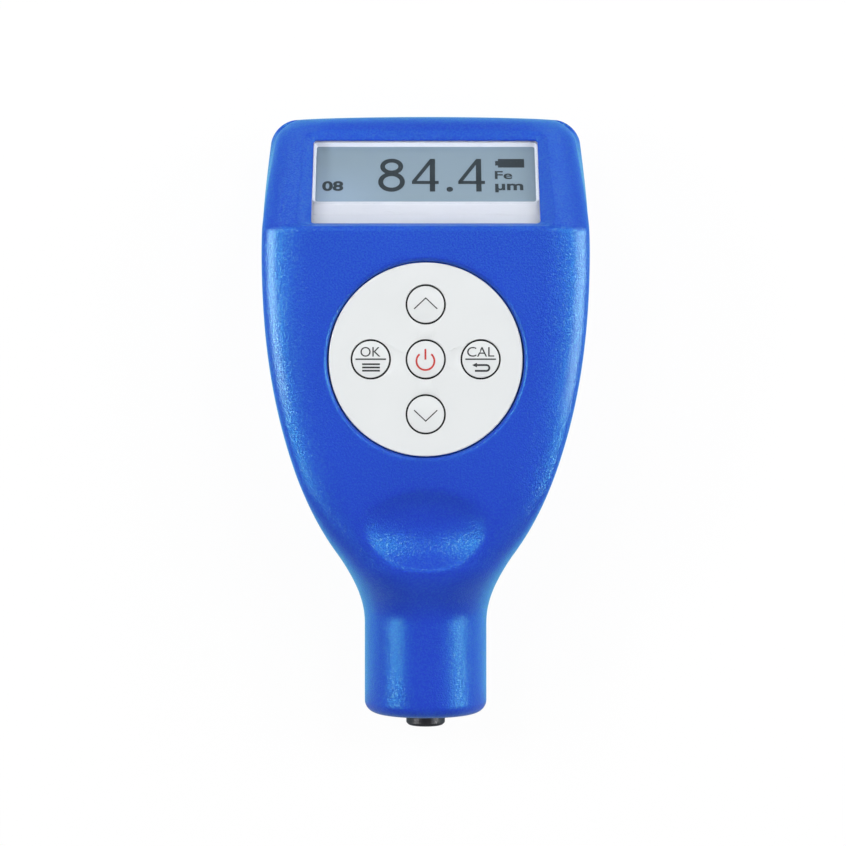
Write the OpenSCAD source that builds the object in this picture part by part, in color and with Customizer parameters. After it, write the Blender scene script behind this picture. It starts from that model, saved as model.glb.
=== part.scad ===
// Pocket coating thickness gauge, lying on its flat back.
// X runs across the body, +Y towards the display head, +Z out of the key face.
// The probe axis lies along Y, in the joint plane of the two shells.

/* [Overall] */
// Length from the probe tip to the top of the head
overall_l = 110; // [107:1:122]
// Width at the widest point of the body
body_w = 59.3; // [58:0.1:66]
// Thickness from the flat back to the key face
body_t = 26; // [26:0.5:30]
// Wall thickness of the two shells
wall = 2; // [1.6:0.1:2.2]

/* [Outline] */
// Diameter of the round neck
neck_d = 22; // [21:0.5:23]
// Length of the straight neck
neck_l = 16; // [14:0.5:17]
// Length from the straight neck to the hip
hip_l = 13; // [12:0.5:14]
// Width at the hip, where the outline turns from hollow to full
hip_w = 32.2; // [31:0.1:35]
// Length from the hip to the waist
waist_l = 14.4; // [13:0.2:16]
// Width at the waist
waist_w = 47.4; // [46:0.1:50]
// Distance of the widest point below the head's crease
wide_offset = 4; // [3:0.1:6]
// Width of the head at its top
head_w = 54.9; // [53:0.1:57]
// Radius of the neck's lower edge
neck_edge_r = 2.2; // [1:0.1:3]
// Width of the crowned edge of the front
crown_w = 8.5; // [6:0.5:10]
// Height of the crowned edge of the front
crown_h = 3; // [2:0.25:4]
// Radius of the back edges
back_r = 6; // [4:0.5:7]
// Mould draft: how far a side leans in from the joint line to its crowned edge
side_lean = 0.9; // [0.3:0.1:1.2]

/* [Thumb dimple] */
// Distance of the dimple's centre above the hip
dimple_offset = 4.4; // [4:0.1:6]
// Width of the dimple
dimple_w = 22; // [18:0.5:24]
// Length of the dimple
dimple_l = 13.6; // [11:0.2:15]
// Depth of the dimple
dimple_depth = 2.3; // [1:0.1:2.6]

/* [Head] */
// Length of the sloping head, seen from the front
head_l = 21.3; // [20.5:0.1:22.5]
// Slope of the head
head_tilt = 30; // [27:0.5:31]
// Corner radius of the head, seen from the front
head_corner_r = 4.2; // [3:0.1:6]
// Radius of the head's upper edge
head_edge_r = 2; // [1:0.1:2.5]
// Rise of the gently bowed top edge
head_bow = 0.6; // [0:0.1:1]
// Half length of the rounded crease between key face and head
crease_r = 0.8; // [0.4:0.1:1.2]
// Width of the display opening
opening_w = 40; // [38:0.2:41]
// Height of the display opening along the slope
opening_h = 18.2; // [17.7:0.1:18.4]
// Distance of the opening from the crease
opening_v = 1.5; // [1.5:0.1:1.9]
// Width of the bevel at the sides of the opening
bevel_side = 2.7; // [2:0.1:3]
// Width of the bevel above the opening
bevel_end = 1.8; // [1.4:0.1:1.9]
// Width of the bevel below the opening
bevel_low = 1.3; // [1:0.1:1.4]
// Depth of the bevel
bevel_depth = 0.8; // [0.5:0.1:0.9]
// Depth of the window behind the head's face
window_depth = 1.1; // [1:0.1:1.2]
// Thickness of the window
window_t = 1; // [0.8:0.1:1.2]
// How far the window laps behind the opening on each side
window_lap = 1.1; // [0.8:0.1:1.2]
// Width of the visible display
lcd_view_w = 39; // [37:0.2:39.2]
// Height of the visible display
lcd_view_h = 12.1; // [11:0.1:12.2]
// Distance of the visible display from the crease
lcd_view_v = 7.2; // [7:0.1:7.4]
// Thickness of the display frame
display_t = 3.6; // [3.2:0.1:4]
// Thickness of the display frame's front rim
display_rim = 0.6; // [0.5:0.1:0.8]
// Width of the bevel inside the display frame's front rim
display_bevel = 0.45; // [0.2:0.05:0.5]
// Thickness of the display glass
lcd_t = 1.1; // [0.9:0.1:1.2]
// Thickness of the backlight
backlight_t = 1.6; // [1.2:0.1:1.8]
// Width of the display ribbon
ribbon_w = 14; // [10:0.5:18]

/* [Keypad] */
// Distance of the key pad's centre below the crease
keypad_offset = 22.9; // [22:0.1:24]
// Diameter of the white key plate
keypad_d = 33.7; // [32:0.1:35]
// Thickness of the key plate
keypad_t = 1.1; // [0.9:0.1:1.3]
// Depth of the key plate below the front
keypad_drop = 0.35; // [0.3:0.05:0.5]
// Thickness of the seat under the key plate
seat_t = 1.5; // [1.3:0.1:1.7]
// Gap around the key plate
keypad_gap = 0.3; // [0.15:0.05:0.4]
// Chamfer around the key plate
keypad_chamfer = 0.5; // [0.2:0.1:0.8]
// Spacing of the keys from the centre
key_pitch = 9.55; // [9.3:0.05:9.9]
// Diameter of a key
key_d = 6.4; // [6:0.1:6.6]
// Gap around a key
key_gap = 0.3; // [0.2:0.05:0.4]
// Rise of the key's crown
key_crown = 0.25; // [0.1:0.05:0.3]
// Width of the key's hidden rim
key_rim = 0.75; // [0.6:0.05:0.9]
// Diameter of the key's stem and of the switch plunger
stem_d = 3.5; // [3:0.1:4]
// Travel of a key
key_travel = 0.3; // [0.2:0.05:0.4]

/* [Board] */
// Depth of the board's upper face below the key face
board_drop = 7.8; // [7.6:0.1:8]
// Thickness of the board
board_t = 1.6; // [1.2:0.1:1.6]
// Width of the board
board_w = 28; // [27:0.5:28.5]
// Side of a key switch
switch_w = 6; // [5.8:0.1:6.2]
// Height of a key switch
switch_h = 3.1; // [2.8:0.1:3.3]

/* [Battery] */
// Diameter of a cell
cell_d = 10.5; // [10.2:0.1:10.5]
// Length of a cell with its button
cell_l = 44.5; // [43.8:0.1:44.6]
// Length of the button
cell_button_l = 1; // [0.8:0.1:1.2]
// Spacing of the two cells
cell_pitch = 11.2; // [11:0.1:11.6]
// Length of the pressed contact spring
contact_spring_l = 4.9; // [4.5:0.1:5.2]
// Height of the pressed button contact
contact_pip_l = 0.8; // [0.6:0.1:1]
// Thickness of the contact plates
contact_t = 0.4; // [0.3:0.05:0.5]
// Wall of the battery bay
bay_wall = 1.5; // [1.3:0.1:1.6]
// How far the bay reaches under the head
bay_under_head = 4.6; // [4:0.1:5]
// Thickness of the battery door
door_t = 1.8; // [1.6:0.1:1.9]
// Height of the door's hinge axis, also the radius of its rounded end
hinge_z = 1.6; // [1.5:0.1:1.7]
// Diameter of the door's hinge pins
hinge_pin_d = 1.6; // [1.4:0.1:1.6]
// Length of a hinge pin
hinge_pin_l = 1.6; // [1.2:0.1:1.8]
// Ledge that the door rests on
door_ledge = 2.1; // [1.9:0.1:2.2]

/* [Probe] */
// Length of the probe outside the neck
tip_out = 2.6; // [2.4:0.1:3]
// Diameter of the probe sleeve
tip_d = 7; // [6.5:0.1:7.2]
// Bore of the probe sleeve
sleeve_bore = 4.6; // [4.4:0.1:4.8]
// Diameter of the probe core
core_d = 2.4; // [2:0.1:2.6]
// Travel of the probe
probe_travel = 2.5; // [2:0.1:2.6]
// Length of the probe spring at rest
probe_spring_l = 8; // [7:0.1:9]

/* [Fasteners] */
// Thread diameter of a case screw
case_screw_d = 2.2; // [2:0.1:2.4]
// Distance of the case screws inside the outline
case_screw_inset = 7.4; // [7:0.1:7.8]
// Thread diameter of a board screw
board_screw_d = 1.6; // [1.4:0.1:1.8]

/* [Clearances] */
// Gap between fixed pieces that are dropped in
seat_gap = 0.15; // [0.1:0.05:0.2]
// Running gap of sliding and turning pieces
run_gap = 0.05; // [0.03:0.01:0.08]
// Gap around the battery door
door_gap = 0.25; // [0.2:0.05:0.3]
// Gap around a cell
cell_gap = 0.3; // [0.2:0.05:0.4]

/* [Hidden] */
$fn = 64;

case_blue = "royalblue";
cut = 1;

// Stations along Y
top_y = overall_l / 2;
tip_y = -overall_l / 2;
neck_end_y = tip_y + tip_out;
neck_y = neck_end_y + neck_l;
hip_y = neck_y + hip_l;
waist_y = hip_y + waist_l;
crease_y = top_y - head_l;
wide_y = crease_y - wide_offset;
dimple_y = hip_y + dimple_offset;
key_y = crease_y - keypad_offset;

// Heights along Z
split_z = neck_d / 2;
face_z = body_t;

// Outline stations: place along Y, half width, slope of the outline
hip_slope = 0.745;
waist_slope = 0.35;
head_slope = -0.12;
outline = [
    [neck_y, neck_d / 2, 0],
    [hip_y, hip_w / 2, hip_slope],
    [waist_y, waist_w / 2, waist_slope],
    [wide_y, body_w / 2, 0],
    [top_y, head_w / 2, head_slope]
];

function blend(a, b, u) = a + (b - a) * u;
function ease(u) = let (t = max(0, min(1, u))) t * t * (3 - 2 * t);

// Cubic curve through two outline stations with their slopes
function curve(a, b, y) =
    let (h = b[0] - a[0], t = (y - a[0]) / h)
    (2 * t ^ 3 - 3 * t ^ 2 + 1) * a[1] + (t ^ 3 - 2 * t ^ 2 + t) * h * a[2]
    + (3 * t ^ 2 - 2 * t ^ 3) * b[1] + (t ^ 3 - t ^ 2) * h * b[2];

// Half width of the outline at y
function side_w(y) =
    y <= neck_y ? neck_d / 2
    : let (k = [for (i = [0 : len(outline) - 2]) if (y <= outline[i + 1][0] || i == len(outline) - 2) i][0])
      curve(outline[k], outline[k + 1], y);

// How far a rounded end of radius r has drawn in, at distance d from the end
function draw_in(d, r) = d >= r ? 0 : r - sqrt(max(0, r ^ 2 - (r - max(0, d)) ^ 2));

// Height of the front face: neck, slope up to the key face, crease and sloping head
slope_start = 0.9;
slope_y = neck_y + slope_start;
slope_l = 10;
function head_drop(y) =
    let (d = y - crease_y)
    d <= -crease_r ? 0
    : tan(head_tilt) * (d >= crease_r ? d : (d + crease_r) ^ 2 / (4 * crease_r));
function front_z(y) = blend(neck_d, face_z, ease((y - slope_y) / slope_l)) - head_drop(y);

// The head's upper edge is rounded as far as its end wall allows
top_edge_r = min(head_edge_r, 0.7 * (front_z(top_y) - split_z));

// Section of the shells at y, t inside the outer skin
function end_r(r, t) = max(0.2, r - t);
function half_w(y, t) =
    side_w(y) - t
    - draw_in(top_y - t - y, end_r(head_corner_r, t))
    - draw_in(y - neck_end_y - t, end_r(neck_edge_r, t));
function top_z(y, t) =
    front_z(y) - t
    - draw_in(top_y - t - y, end_r(top_edge_r, t))
    - draw_in(y - neck_end_y - t, end_r(neck_edge_r, t));
function low_z(y, t) =
    t
    + draw_in(top_y - t - y, end_r(back_r / 2, t))
    + draw_in(y - neck_end_y - t, end_r(neck_edge_r, t));

// The section changes from a circle on the neck to a crowned slab on the body
flat_min = 0.8;
side_min = 0.3;
body_share_l = 25;
function body_share(y) = ease((y - slope_y) / body_share_l);
function edge(y, t, body_edge) = blend(neck_d / 2, body_edge, body_share(y)) - t;
function edge_w(y, t, w, body_edge) = min(edge(y, t, body_edge), w - flat_min);
function edge_h(y, t, h, body_edge) = max(0.2, min(edge(y, t, body_edge), h - side_min));

// Points of the right corner of a section, from its side up or down to its flat
corner_n = 6;
function corner(w, ew, z, eh, side) =
    [for (k = [0 : corner_n])
        let (a = 90 * k / corner_n)
        [w - ew + ew * cos(a), z + side * (eh * sin(a) - eh)]];

// One ring of a shell, from the right joint line round to the left one
function bowed(x, y) = y - head_bow * (2 * x / head_w) ^ 2 * ease((y - crease_y) / head_l);
function ring(y, t, front) =
    let (
        w = half_w(y, t),
        z = front ? top_z(y, t) : low_z(y, t),
        side = front ? 1 : -1,
        edge_x = w - side_lean * body_share(y),
        ew = edge_w(y, t, edge_x, front ? crown_w : back_r),
        eh = edge_h(y, t, side * (z - split_z), front ? crown_h : back_r),
        right = concat([[w, split_z]], corner(edge_x, ew, z, eh, side)),
        left = [for (k = [len(right) - 1 : -1 : 0]) [-right[k][0], right[k][1]]]
    )
    [for (p = concat(right, [[0, z]], left)) [p[0], bowed(p[0], y), p[1]]];

// Rows along Y, closer together where the skin turns
function spread(a, b, n) = [for (k = [0 : n - 1]) blend(a, b, k / n)];
function round_rows(r, n) = [for (k = [0 : n]) r * (1 - cos(90 * k / n))];
rows = concat(
    [for (d = round_rows(neck_edge_r, 4)) neck_end_y + d],
    spread(neck_end_y + 2 * neck_edge_r, neck_y, 2),
    spread(neck_y, waist_y, 13),
    spread(waist_y, crease_y - crease_r, 6),
    spread(crease_y - crease_r, crease_y + crease_r, 3),
    spread(crease_y + crease_r, top_y - head_corner_r, 4),
    [for (k = [0 : 6]) top_y - head_corner_r * (1 - sin(15 * k))]
);

// The inner skin keeps the rows, drawn in by the wall over a short zone at both ends
end_zone = 7;
function inner_y(y) =
    let (share = 1 - wall / end_zone)
    y > top_y - end_zone ? top_y - end_zone + (y - top_y + end_zone) * share
    : y < neck_end_y + end_zone ? neck_end_y + end_zone + (y - neck_end_y - end_zone) * share
    : y;

// Triangles of one four-sided patch, turned round for the other shell
function patch(q, flip) =
    flip ? [[q[2], q[1], q[0]], [q[3], q[2], q[0]]] : [[q[0], q[1], q[2]], [q[0], q[2], q[3]]];

// Closed shell: outer skin, inner skin, end walls and the flat joint rim
module shell(front) {
    outer = [for (y = rows) ring(y, 0, front)];
    inner = [for (y = rows) ring(inner_y(y), wall, front)];
    n = len(outer[0]);
    m = len(outer) - 1;
    last = n - 1;
    in = n * (m + 1);
    skin = [for (j = [0 : m - 1], i = [0 : n - 2]) [j * n + i, j * n + i + 1, (j + 1) * n + i + 1, (j + 1) * n + i]];
    middle = floor(n / 2);
    ends = [for (i = [0 : middle - 3]) [i, i + 1, n - 2 - i, n - 1 - i]];
    tips = [
        [middle - 2, middle - 1, middle],
        [middle - 2, middle, middle + 2],
        [middle, middle + 1, middle + 2]
    ];
    rim = [for (j = [0 : m - 1]) each [
        [j * n, (j + 1) * n, in + (j + 1) * n, in + j * n],
        [(j + 1) * n + last, j * n + last, in + j * n + last, in + (j + 1) * n + last]
    ]];
    rim_ends = [
        [last, 0, in, in + last],
        [m * n, m * n + last, in + m * n + last, in + m * n]
    ];
    quads = concat(
        skin,
        [for (q = skin) [q[3] + in, q[2] + in, q[1] + in, q[0] + in]],
        [for (q = ends) each [
            [q[3], q[2], q[1], q[0]],
            [q[0] + m * n, q[1] + m * n, q[2] + m * n, q[3] + m * n],
            [q[0] + in, q[1] + in, q[2] + in, q[3] + in],
            [q[3] + in + m * n, q[2] + in + m * n, q[1] + in + m * n, q[0] + in + m * n]
        ]],
        rim,
        rim_ends
    );
    corners = [for (q = tips) each [
        [q[2], q[1], q[0]],
        [q[0] + m * n, q[1] + m * n, q[2] + m * n],
        [q[0] + in, q[1] + in, q[2] + in],
        [q[2] + in + m * n, q[1] + in + m * n, q[0] + in + m * n]
    ]];
    polyhedron(
        points = concat([for (r = outer) each r], [for (r = inner) each r]),
        faces = concat(
            [for (q = quads) each patch(q, !front)],
            [for (q = corners) front ? q : [q[2], q[1], q[0]]]
        )
    );
}

// Local frame of the head: Y up the slope from the crease, Z out of its face
module on_head()
    translate([0, crease_y, face_z]) rotate([-head_tilt, 0, 0]) children();

// Round bar along the probe axis, from one place on Y to another
module bar(from_y, to_y, r)
    translate([0, from_y, split_z]) rotate([-90, 0, 0]) cylinder(h = to_y - from_y, r = r);

// Flat plate with rounded corners, standing on Z = 0 and centred on X
module plate(w, l, h, r) {
    translate([-w / 2 + r, 0, 0]) cube([w - 2 * r, l, h]);
    translate([-w / 2, r, 0]) cube([w, l - 2 * r, h]);
    for (x = [-w / 2 + r, w / 2 - r], y = [r, l - r])
        translate([x, y, 0]) cylinder(h = h, r = r);
}

// Wire coil along Z, from radius r0 at its foot to r1 at its top
module coil(r0, r1, h, turns, wire_r) {
    steps = 14 * turns;
    sides = 6;
    points = [for (k = [0 : steps], s = [0 : sides - 1])
        let (u = k / steps, a = 360 * turns * u, b = 360 * s / sides, r = blend(r0, r1, u) + wire_r * cos(b))
        [r * cos(a), r * sin(a), wire_r + (h - 2 * wire_r) * u + wire_r * sin(b)]];
    sleeve = [for (k = [0 : steps - 1], s = [0 : sides - 1])
        let (t = (s + 1) % sides)
        [k * sides + s, k * sides + t, (k + 1) * sides + t, (k + 1) * sides + s]];
    polyhedron(
        points = points,
        faces = concat(
            [for (q = sleeve) each patch(q, false)],
            [[for (s = [sides - 1 : -1 : 0]) s]],
            [[for (s = [0 : sides - 1]) steps * sides + s]]
        )
    );
}

// Key places
key_places = [
    [0, key_y + key_pitch],
    [0, key_y - key_pitch],
    [-key_pitch, key_y],
    [key_pitch, key_y],
    [0, key_y]
];

// Key stack, from the plate down
plate_z = face_z - keypad_drop;
seat_z = plate_z - keypad_t;
key_hole_r = key_d / 2 + key_gap;
key_rim_r = key_d / 2 + key_rim;
rim_z = seat_z - 0.08;
rim_t = 0.7;
seat_r = keypad_d / 2 + 1.5;
pocket_r = keypad_d / 2 + keypad_gap;
board_z = face_z - board_drop;
plunger_z = board_z + switch_h + 0.9;
plunger_seat_z = board_z + switch_h - 1.2;

// Board and its fixings
board_y1 = crease_y - 2.4;
board_y0 = hip_y + 3.4;
board_boss_x = 11.5;
board_boss_r = 2.2;
board_screw_inset = 3;
board_screw_low = 19.1;
board_screw_ys = [max(key_y - board_screw_low, board_y0 + board_screw_inset), board_y1 - board_screw_inset];
board_screw_places = [for (x = [-board_boss_x, board_boss_x], y = board_screw_ys) [x, y]];
board_pilot_l = 5;

// Battery bay
cell_z = door_t + cell_gap + cell_d / 2;
bay_w = cell_pitch + cell_d + 2 * cell_gap;
bay_l = cell_l + contact_spring_l + contact_pip_l + 2 * contact_t;
bay_y1 = crease_y + bay_under_head;
bay_y0 = bay_y1 - bay_l;
bay_z = cell_z + cell_d / 2 + cell_gap;
bay_top_z = bay_z + bay_wall;

// Battery door
recess_w = bay_w + 2 * door_ledge;
recess_y0 = bay_y0 - door_ledge;
recess_y1 = bay_y1 + door_ledge;
recess_z = door_t + seat_gap;
door_w = recess_w - 2 * door_gap;
door_y1 = recess_y1 - door_gap;
hinge_y = recess_y0 + door_gap + hinge_z;
ledge_z = recess_z + door_ledge;
pad_rim = 2.8;
door_heel = 0.3 * hinge_z;
latch_w = 10;
latch_t = 1.2;
latch_z = 3.6;

// Case screws sit in sunk holes of the back and hold the front shell's posts
case_screw_places = [for (y = [waist_y + 3, crease_y - 8.4], s = [-1, 1]) [s * (side_w(y) - case_screw_inset), y]];
case_head_d = 4.4;
case_head_h = 1.8;
case_sink_z = 3.5;
case_joint_z = split_z - 3;
case_post_r = 2.8;
case_pilot_l = 7;

// Probe stations along its axis
probe_hole_r = tip_d / 2 + 0.35;
guide_y0 = neck_end_y + wall;
guide_flange_t = 2.2;
guide_flange_r = neck_d / 2 - wall - 0.3;
guide_r = 5.8;
collar_r = 4.7;
collar_t = 1.8;
guide_seat_y = guide_y0 + 7.4;
collar_y = guide_seat_y + 0.1;
guide_y1 = collar_y + collar_t + probe_spring_l + 0.1;
cap_t = 1.5;
sleeve_y0 = tip_y + 0.2;
sleeve_edge = 0.4;
sleeve_y1 = collar_y + collar_t + 1;
rib_r = guide_r + 0.3;
rib_t = 1.5;
rib_y = guide_y0 + guide_flange_t + seat_gap;

// Half ring inside the neck that holds the probe guide's flange
module neck_rib(front)
    intersection() {
        difference() {
            bar(rib_y, rib_y + rib_t, neck_d / 2 - wall / 2);
            bar(rib_y - cut, rib_y + rib_t + cut, rib_r);
        }
        translate([-neck_d / 2, guide_y0, front ? split_z : split_z - neck_d])
            cube([neck_d, neck_l, neck_d]);
    }

// Tapered pocket below Z = 0: a floor w by l at the given depth, wider by its bevels at the top
opening_r = 0.6;
view_r = 0.4;
module bevel_cut(w, l, r, depth, side, low, high) {
    lift = 0.3;
    grow = 1 + lift / depth;
    skin = 0.01;
    hull() {
        translate([0, 0, -depth]) plate(w, l, skin, r);
        translate([0, -low * grow, lift])
            plate(w + 2 * side * grow, l + (low + high) * grow, skin, r + min(side, low) * grow / 2);
    }
}

// Bowl of the thumb dimple up to height z: an arc turned about a cross axis above the face,
// grown by a wall for the bulge behind it
function bowl_r(chord) = (chord ^ 2 / 4 + dimple_depth ^ 2) / (2 * dimple_depth);
module dimple_bowl(grow, z)
    intersection() {
        translate([0, dimple_y, face_z - dimple_depth + bowl_r(dimple_l)]) rotate([0, 90, 0]) rotate_extrude()
            intersection() {
                translate([bowl_r(dimple_l) - bowl_r(dimple_w), 0]) circle(r = bowl_r(dimple_w) + grow, $fn = 128);
                translate([0, -dimple_w]) square([dimple_w, 2 * dimple_w]);
            }
        translate([-dimple_w, dimple_y - dimple_l, z - 2 * dimple_depth - wall])
            cube([2 * dimple_w, 2 * dimple_l, 2 * dimple_depth + wall]);
    }

module front_case()
    color(case_blue)
    difference() {
        union() {
            shell(true);
            dimple_bowl(wall * 0.9, face_z - wall / 2);
            translate([0, key_y, seat_z - seat_t])
                cylinder(h = face_z - wall / 2 - seat_z + seat_t, r = seat_r);
            for (p = board_screw_places)
                translate([p[0], p[1], board_z])
                    cylinder(h = face_z - wall / 2 - board_z, r = board_boss_r);
            for (p = case_screw_places)
                translate([p[0], p[1], case_joint_z])
                    cylinder(h = face_z - wall / 2 - case_joint_z, r = case_post_r);
            neck_rib(true);
        }
        dimple_bowl(0, face_z + 0.4);
        translate([0, key_y, seat_z]) cylinder(h = face_z, r = pocket_r);
        translate([0, key_y, face_z - keypad_chamfer])
            cylinder(h = 2 * keypad_chamfer, r1 = pocket_r, r2 = pocket_r + 2 * keypad_chamfer);
        for (p = key_places)
            translate([p[0], p[1], seat_z - seat_t - cut])
                cylinder(h = seat_t + 2 * cut, r = key_rim_r + seat_gap);
        on_head() {
            translate([0, opening_v, 0])
                bevel_cut(opening_w, opening_h, opening_r, bevel_depth, bevel_side, bevel_low, bevel_end);
            translate([0, opening_v, -window_depth - cut])
                plate(opening_w, opening_h, window_depth + cut, opening_r);
            translate([0, opening_v - window_lap - seat_gap, -window_depth - window_t - cut])
                plate(
                    opening_w + 2 * window_lap + 2 * seat_gap, opening_h + 2 * window_lap + 2 * seat_gap,
                    window_t + cut, 1
                );
        }
        for (p = board_screw_places)
            translate([p[0], p[1], board_z - cut])
                cylinder(h = board_pilot_l + cut, d = board_screw_d + 2 * run_gap);
        for (p = case_screw_places)
            translate([p[0], p[1], case_joint_z - cut])
                cylinder(h = case_pilot_l + cut, d = case_screw_d + 2 * run_gap);
        bar(neck_end_y - cut, guide_y0 + cut, probe_hole_r);
    }

module rear_case()
    color(case_blue)
    difference() {
        union() {
            shell(false);
            translate([-bay_w / 2 - bay_wall, bay_y0 - bay_wall, wall / 2])
                cube([bay_w + 2 * bay_wall, bay_l + 2 * bay_wall, bay_top_z - wall / 2]);
            translate([0, recess_y0 - pad_rim, wall / 2])
                plate(recess_w + 2 * pad_rim, recess_y1 - recess_y0 + 2 * pad_rim, ledge_z - wall / 2, 2);
            for (p = case_screw_places)
                translate([p[0], p[1], wall * 0.75])
                    cylinder(h = case_joint_z - wall * 0.75, r = case_head_d / 2 + seat_gap + wall * 0.8);
            neck_rib(false);
        }
        translate([-bay_w / 2, bay_y0, -cut]) cube([bay_w, bay_l, bay_z + cut]);
        translate([0, recess_y0, -cut]) plate(recess_w, recess_y1 - recess_y0, recess_z + cut, 1);
        translate([-recess_w / 2, hinge_y, hinge_z])
            rotate([0, 90, 0]) cylinder(h = recess_w, r = hinge_z + door_gap);
        translate([-recess_w / 2 - hinge_pin_l, hinge_y, hinge_z])
            rotate([0, 90, 0]) cylinder(h = recess_w + 2 * hinge_pin_l, d = hinge_pin_d + 2 * run_gap);
        translate([-latch_w / 2 - door_gap, bay_y1 - cut, -cut])
            cube([latch_w + 2 * door_gap, recess_y1 - bay_y1 + cut, latch_z + door_gap + cut]);
        translate([0, recess_y1 + 1.5, -10.8]) sphere(r = 12);
        for (p = case_screw_places) {
            translate([p[0], p[1], -cut]) cylinder(h = case_sink_z + cut, d = case_head_d + 2 * seat_gap);
            translate([p[0], p[1], -cut]) cylinder(h = split_z, d = case_screw_d + 4 * seat_gap);
        }
        bar(neck_end_y - cut, guide_y0 + cut, probe_hole_r);
    }

module battery_door()
    color(case_blue)
    difference() {
        union() {
            translate([0, hinge_y - door_heel, 0]) plate(door_w, door_y1 - hinge_y + door_heel, door_t, 0.8);
            translate([-door_w / 2, hinge_y, hinge_z]) rotate([0, 90, 0]) cylinder(h = door_w, r = hinge_z);
            translate([-door_w / 2 - hinge_pin_l, hinge_y, hinge_z])
                rotate([0, 90, 0]) cylinder(h = door_w + 2 * hinge_pin_l, d = hinge_pin_d);
            translate([-latch_w / 2, door_y1 - latch_t, 0]) cube([latch_w, latch_t, latch_z]);
        }
        for (k = [1 : 4])
            translate([-latch_w / 2, door_y1 - 1 - 1.6 * k, -cut]) cube([latch_w, 0.8, cut + 0.5]);
    }

window_z = -window_depth - window_t;
frame_lap = 1.6;
frame_z = window_z - display_t;
lcd_lap = 0.8;

module display_window()
    color("lightcyan", 0.4)
    on_head()
    translate([0, opening_v - window_lap, window_z])
        plate(opening_w + 2 * window_lap, opening_h + 2 * window_lap, window_t, 0.9);

module display_frame()
    color("white")
    on_head()
    difference() {
        translate([0, opening_v - window_lap, frame_z])
            plate(opening_w + 2 * frame_lap, opening_h + window_lap + frame_lap, display_t, 1);
        translate([0, lcd_view_v, frame_z - cut])
            plate(lcd_view_w, lcd_view_h, display_t + 2 * cut, view_r);
        translate([0, lcd_view_v, window_z])
            bevel_cut(lcd_view_w, lcd_view_h, view_r, display_rim, display_bevel, display_bevel, display_bevel);
        translate([-lcd_view_w / 2 - lcd_lap, lcd_view_v - lcd_lap, frame_z - cut])
            cube([lcd_view_w + 2 * lcd_lap, lcd_view_h + 2 * lcd_lap, display_t - display_rim + cut]);
    }

module lcd_panel()
    color("slategray")
    on_head()
    translate([-lcd_view_w / 2 - lcd_lap + seat_gap, lcd_view_v - lcd_lap + seat_gap, window_z - display_rim - lcd_t])
        cube([lcd_view_w + 2 * (lcd_lap - seat_gap), lcd_view_h + 2 * (lcd_lap - seat_gap), lcd_t]);

module backlight_panel()
    color("whitesmoke")
    on_head()
    translate([
        -lcd_view_w / 2 - lcd_lap + seat_gap, lcd_view_v - lcd_lap + seat_gap,
        window_z - display_rim - lcd_t - backlight_t
    ])
        cube([lcd_view_w + 2 * (lcd_lap - seat_gap), lcd_view_h + 2 * (lcd_lap - seat_gap), backlight_t]);

// The ribbon leaves the back of the display frame and bends into its socket
socket_l = 3;
socket_h = 1.8;
socket_inset = 0.6;
socket_y = board_y1 - socket_l - socket_inset;
ribbon_t = 0.3;
ribbon_z = board_z + socket_h / 2;
ribbon_v = opening_v;
ribbon_from = [
    crease_y + ribbon_v * cos(head_tilt) + frame_z * sin(head_tilt),
    face_z - ribbon_v * sin(head_tilt) + frame_z * cos(head_tilt)
];

module display_ribbon()
    color("orange")
    translate([-ribbon_w / 2, 0, 0]) rotate([90, 0, 90]) linear_extrude(ribbon_w)
        polygon([
            ribbon_from,
            [ribbon_from[0] - 0.1, ribbon_z],
            [socket_y + socket_l - 1, ribbon_z],
            [socket_y + socket_l - 1, ribbon_z + ribbon_t],
            [ribbon_from[0] - 0.45, ribbon_z + ribbon_t],
            [ribbon_from[0] - ribbon_t * cos(head_tilt), ribbon_from[1] + ribbon_t * sin(head_tilt)]
        ]);

module ribbon_socket()
    color("ivory")
    difference() {
        translate([-ribbon_w / 2 - 1.5, socket_y, board_z]) cube([ribbon_w + 3, socket_l, socket_h]);
        translate([-ribbon_w / 2 - seat_gap, socket_y + socket_l - 1 - seat_gap, ribbon_z - seat_gap])
            cube([ribbon_w + 2 * seat_gap, socket_l, ribbon_t + 2 * seat_gap]);
    }

module keypad_plate()
    color("white")
    difference() {
        translate([0, key_y, seat_z]) cylinder(h = keypad_t, d = keypad_d);
        for (p = key_places)
            translate([p[0], p[1], seat_z - cut]) cylinder(h = keypad_t + 2 * cut, r = key_hole_r);
    }

// Key with a crowned face, a rim under the plate and a stem on the switch plunger
crown_r = (key_d ^ 2 / 4 + key_crown ^ 2) / (2 * key_crown);
module key_cap(p)
    translate([p[0], p[1], 0]) {
        intersection() {
            translate([0, 0, rim_z - rim_t]) cylinder(h = plate_z + 2 * key_crown - rim_z + rim_t, d = key_d);
            translate([0, 0, plate_z + key_crown - crown_r]) sphere(r = crown_r, $fn = 128);
        }
        translate([0, 0, rim_z - rim_t]) cylinder(h = rim_t, r = key_rim_r);
        translate([0, 0, plunger_z]) cylinder(h = rim_z - plunger_z, d = stem_d);
    }

module up_key() color("white") key_cap(key_places[0]);
module down_key() color("white") key_cap(key_places[1]);
module ok_key() color("white") key_cap(key_places[2]);
module cal_key() color("white") key_cap(key_places[3]);
module power_key() color("white") key_cap(key_places[4]);

// Switch plunger under a key, short enough for the travel
module plunger(p)
    translate([p[0], p[1], plunger_seat_z + key_travel + 0.2])
        cylinder(h = plunger_z - plunger_seat_z - key_travel - 0.2, d = stem_d);

module up_plunger() color("dimgray") plunger(key_places[0]);
module down_plunger() color("dimgray") plunger(key_places[1]);
module ok_plunger() color("dimgray") plunger(key_places[2]);
module cal_plunger() color("dimgray") plunger(key_places[3]);
module power_plunger() color("dimgray") plunger(key_places[4]);

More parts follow.
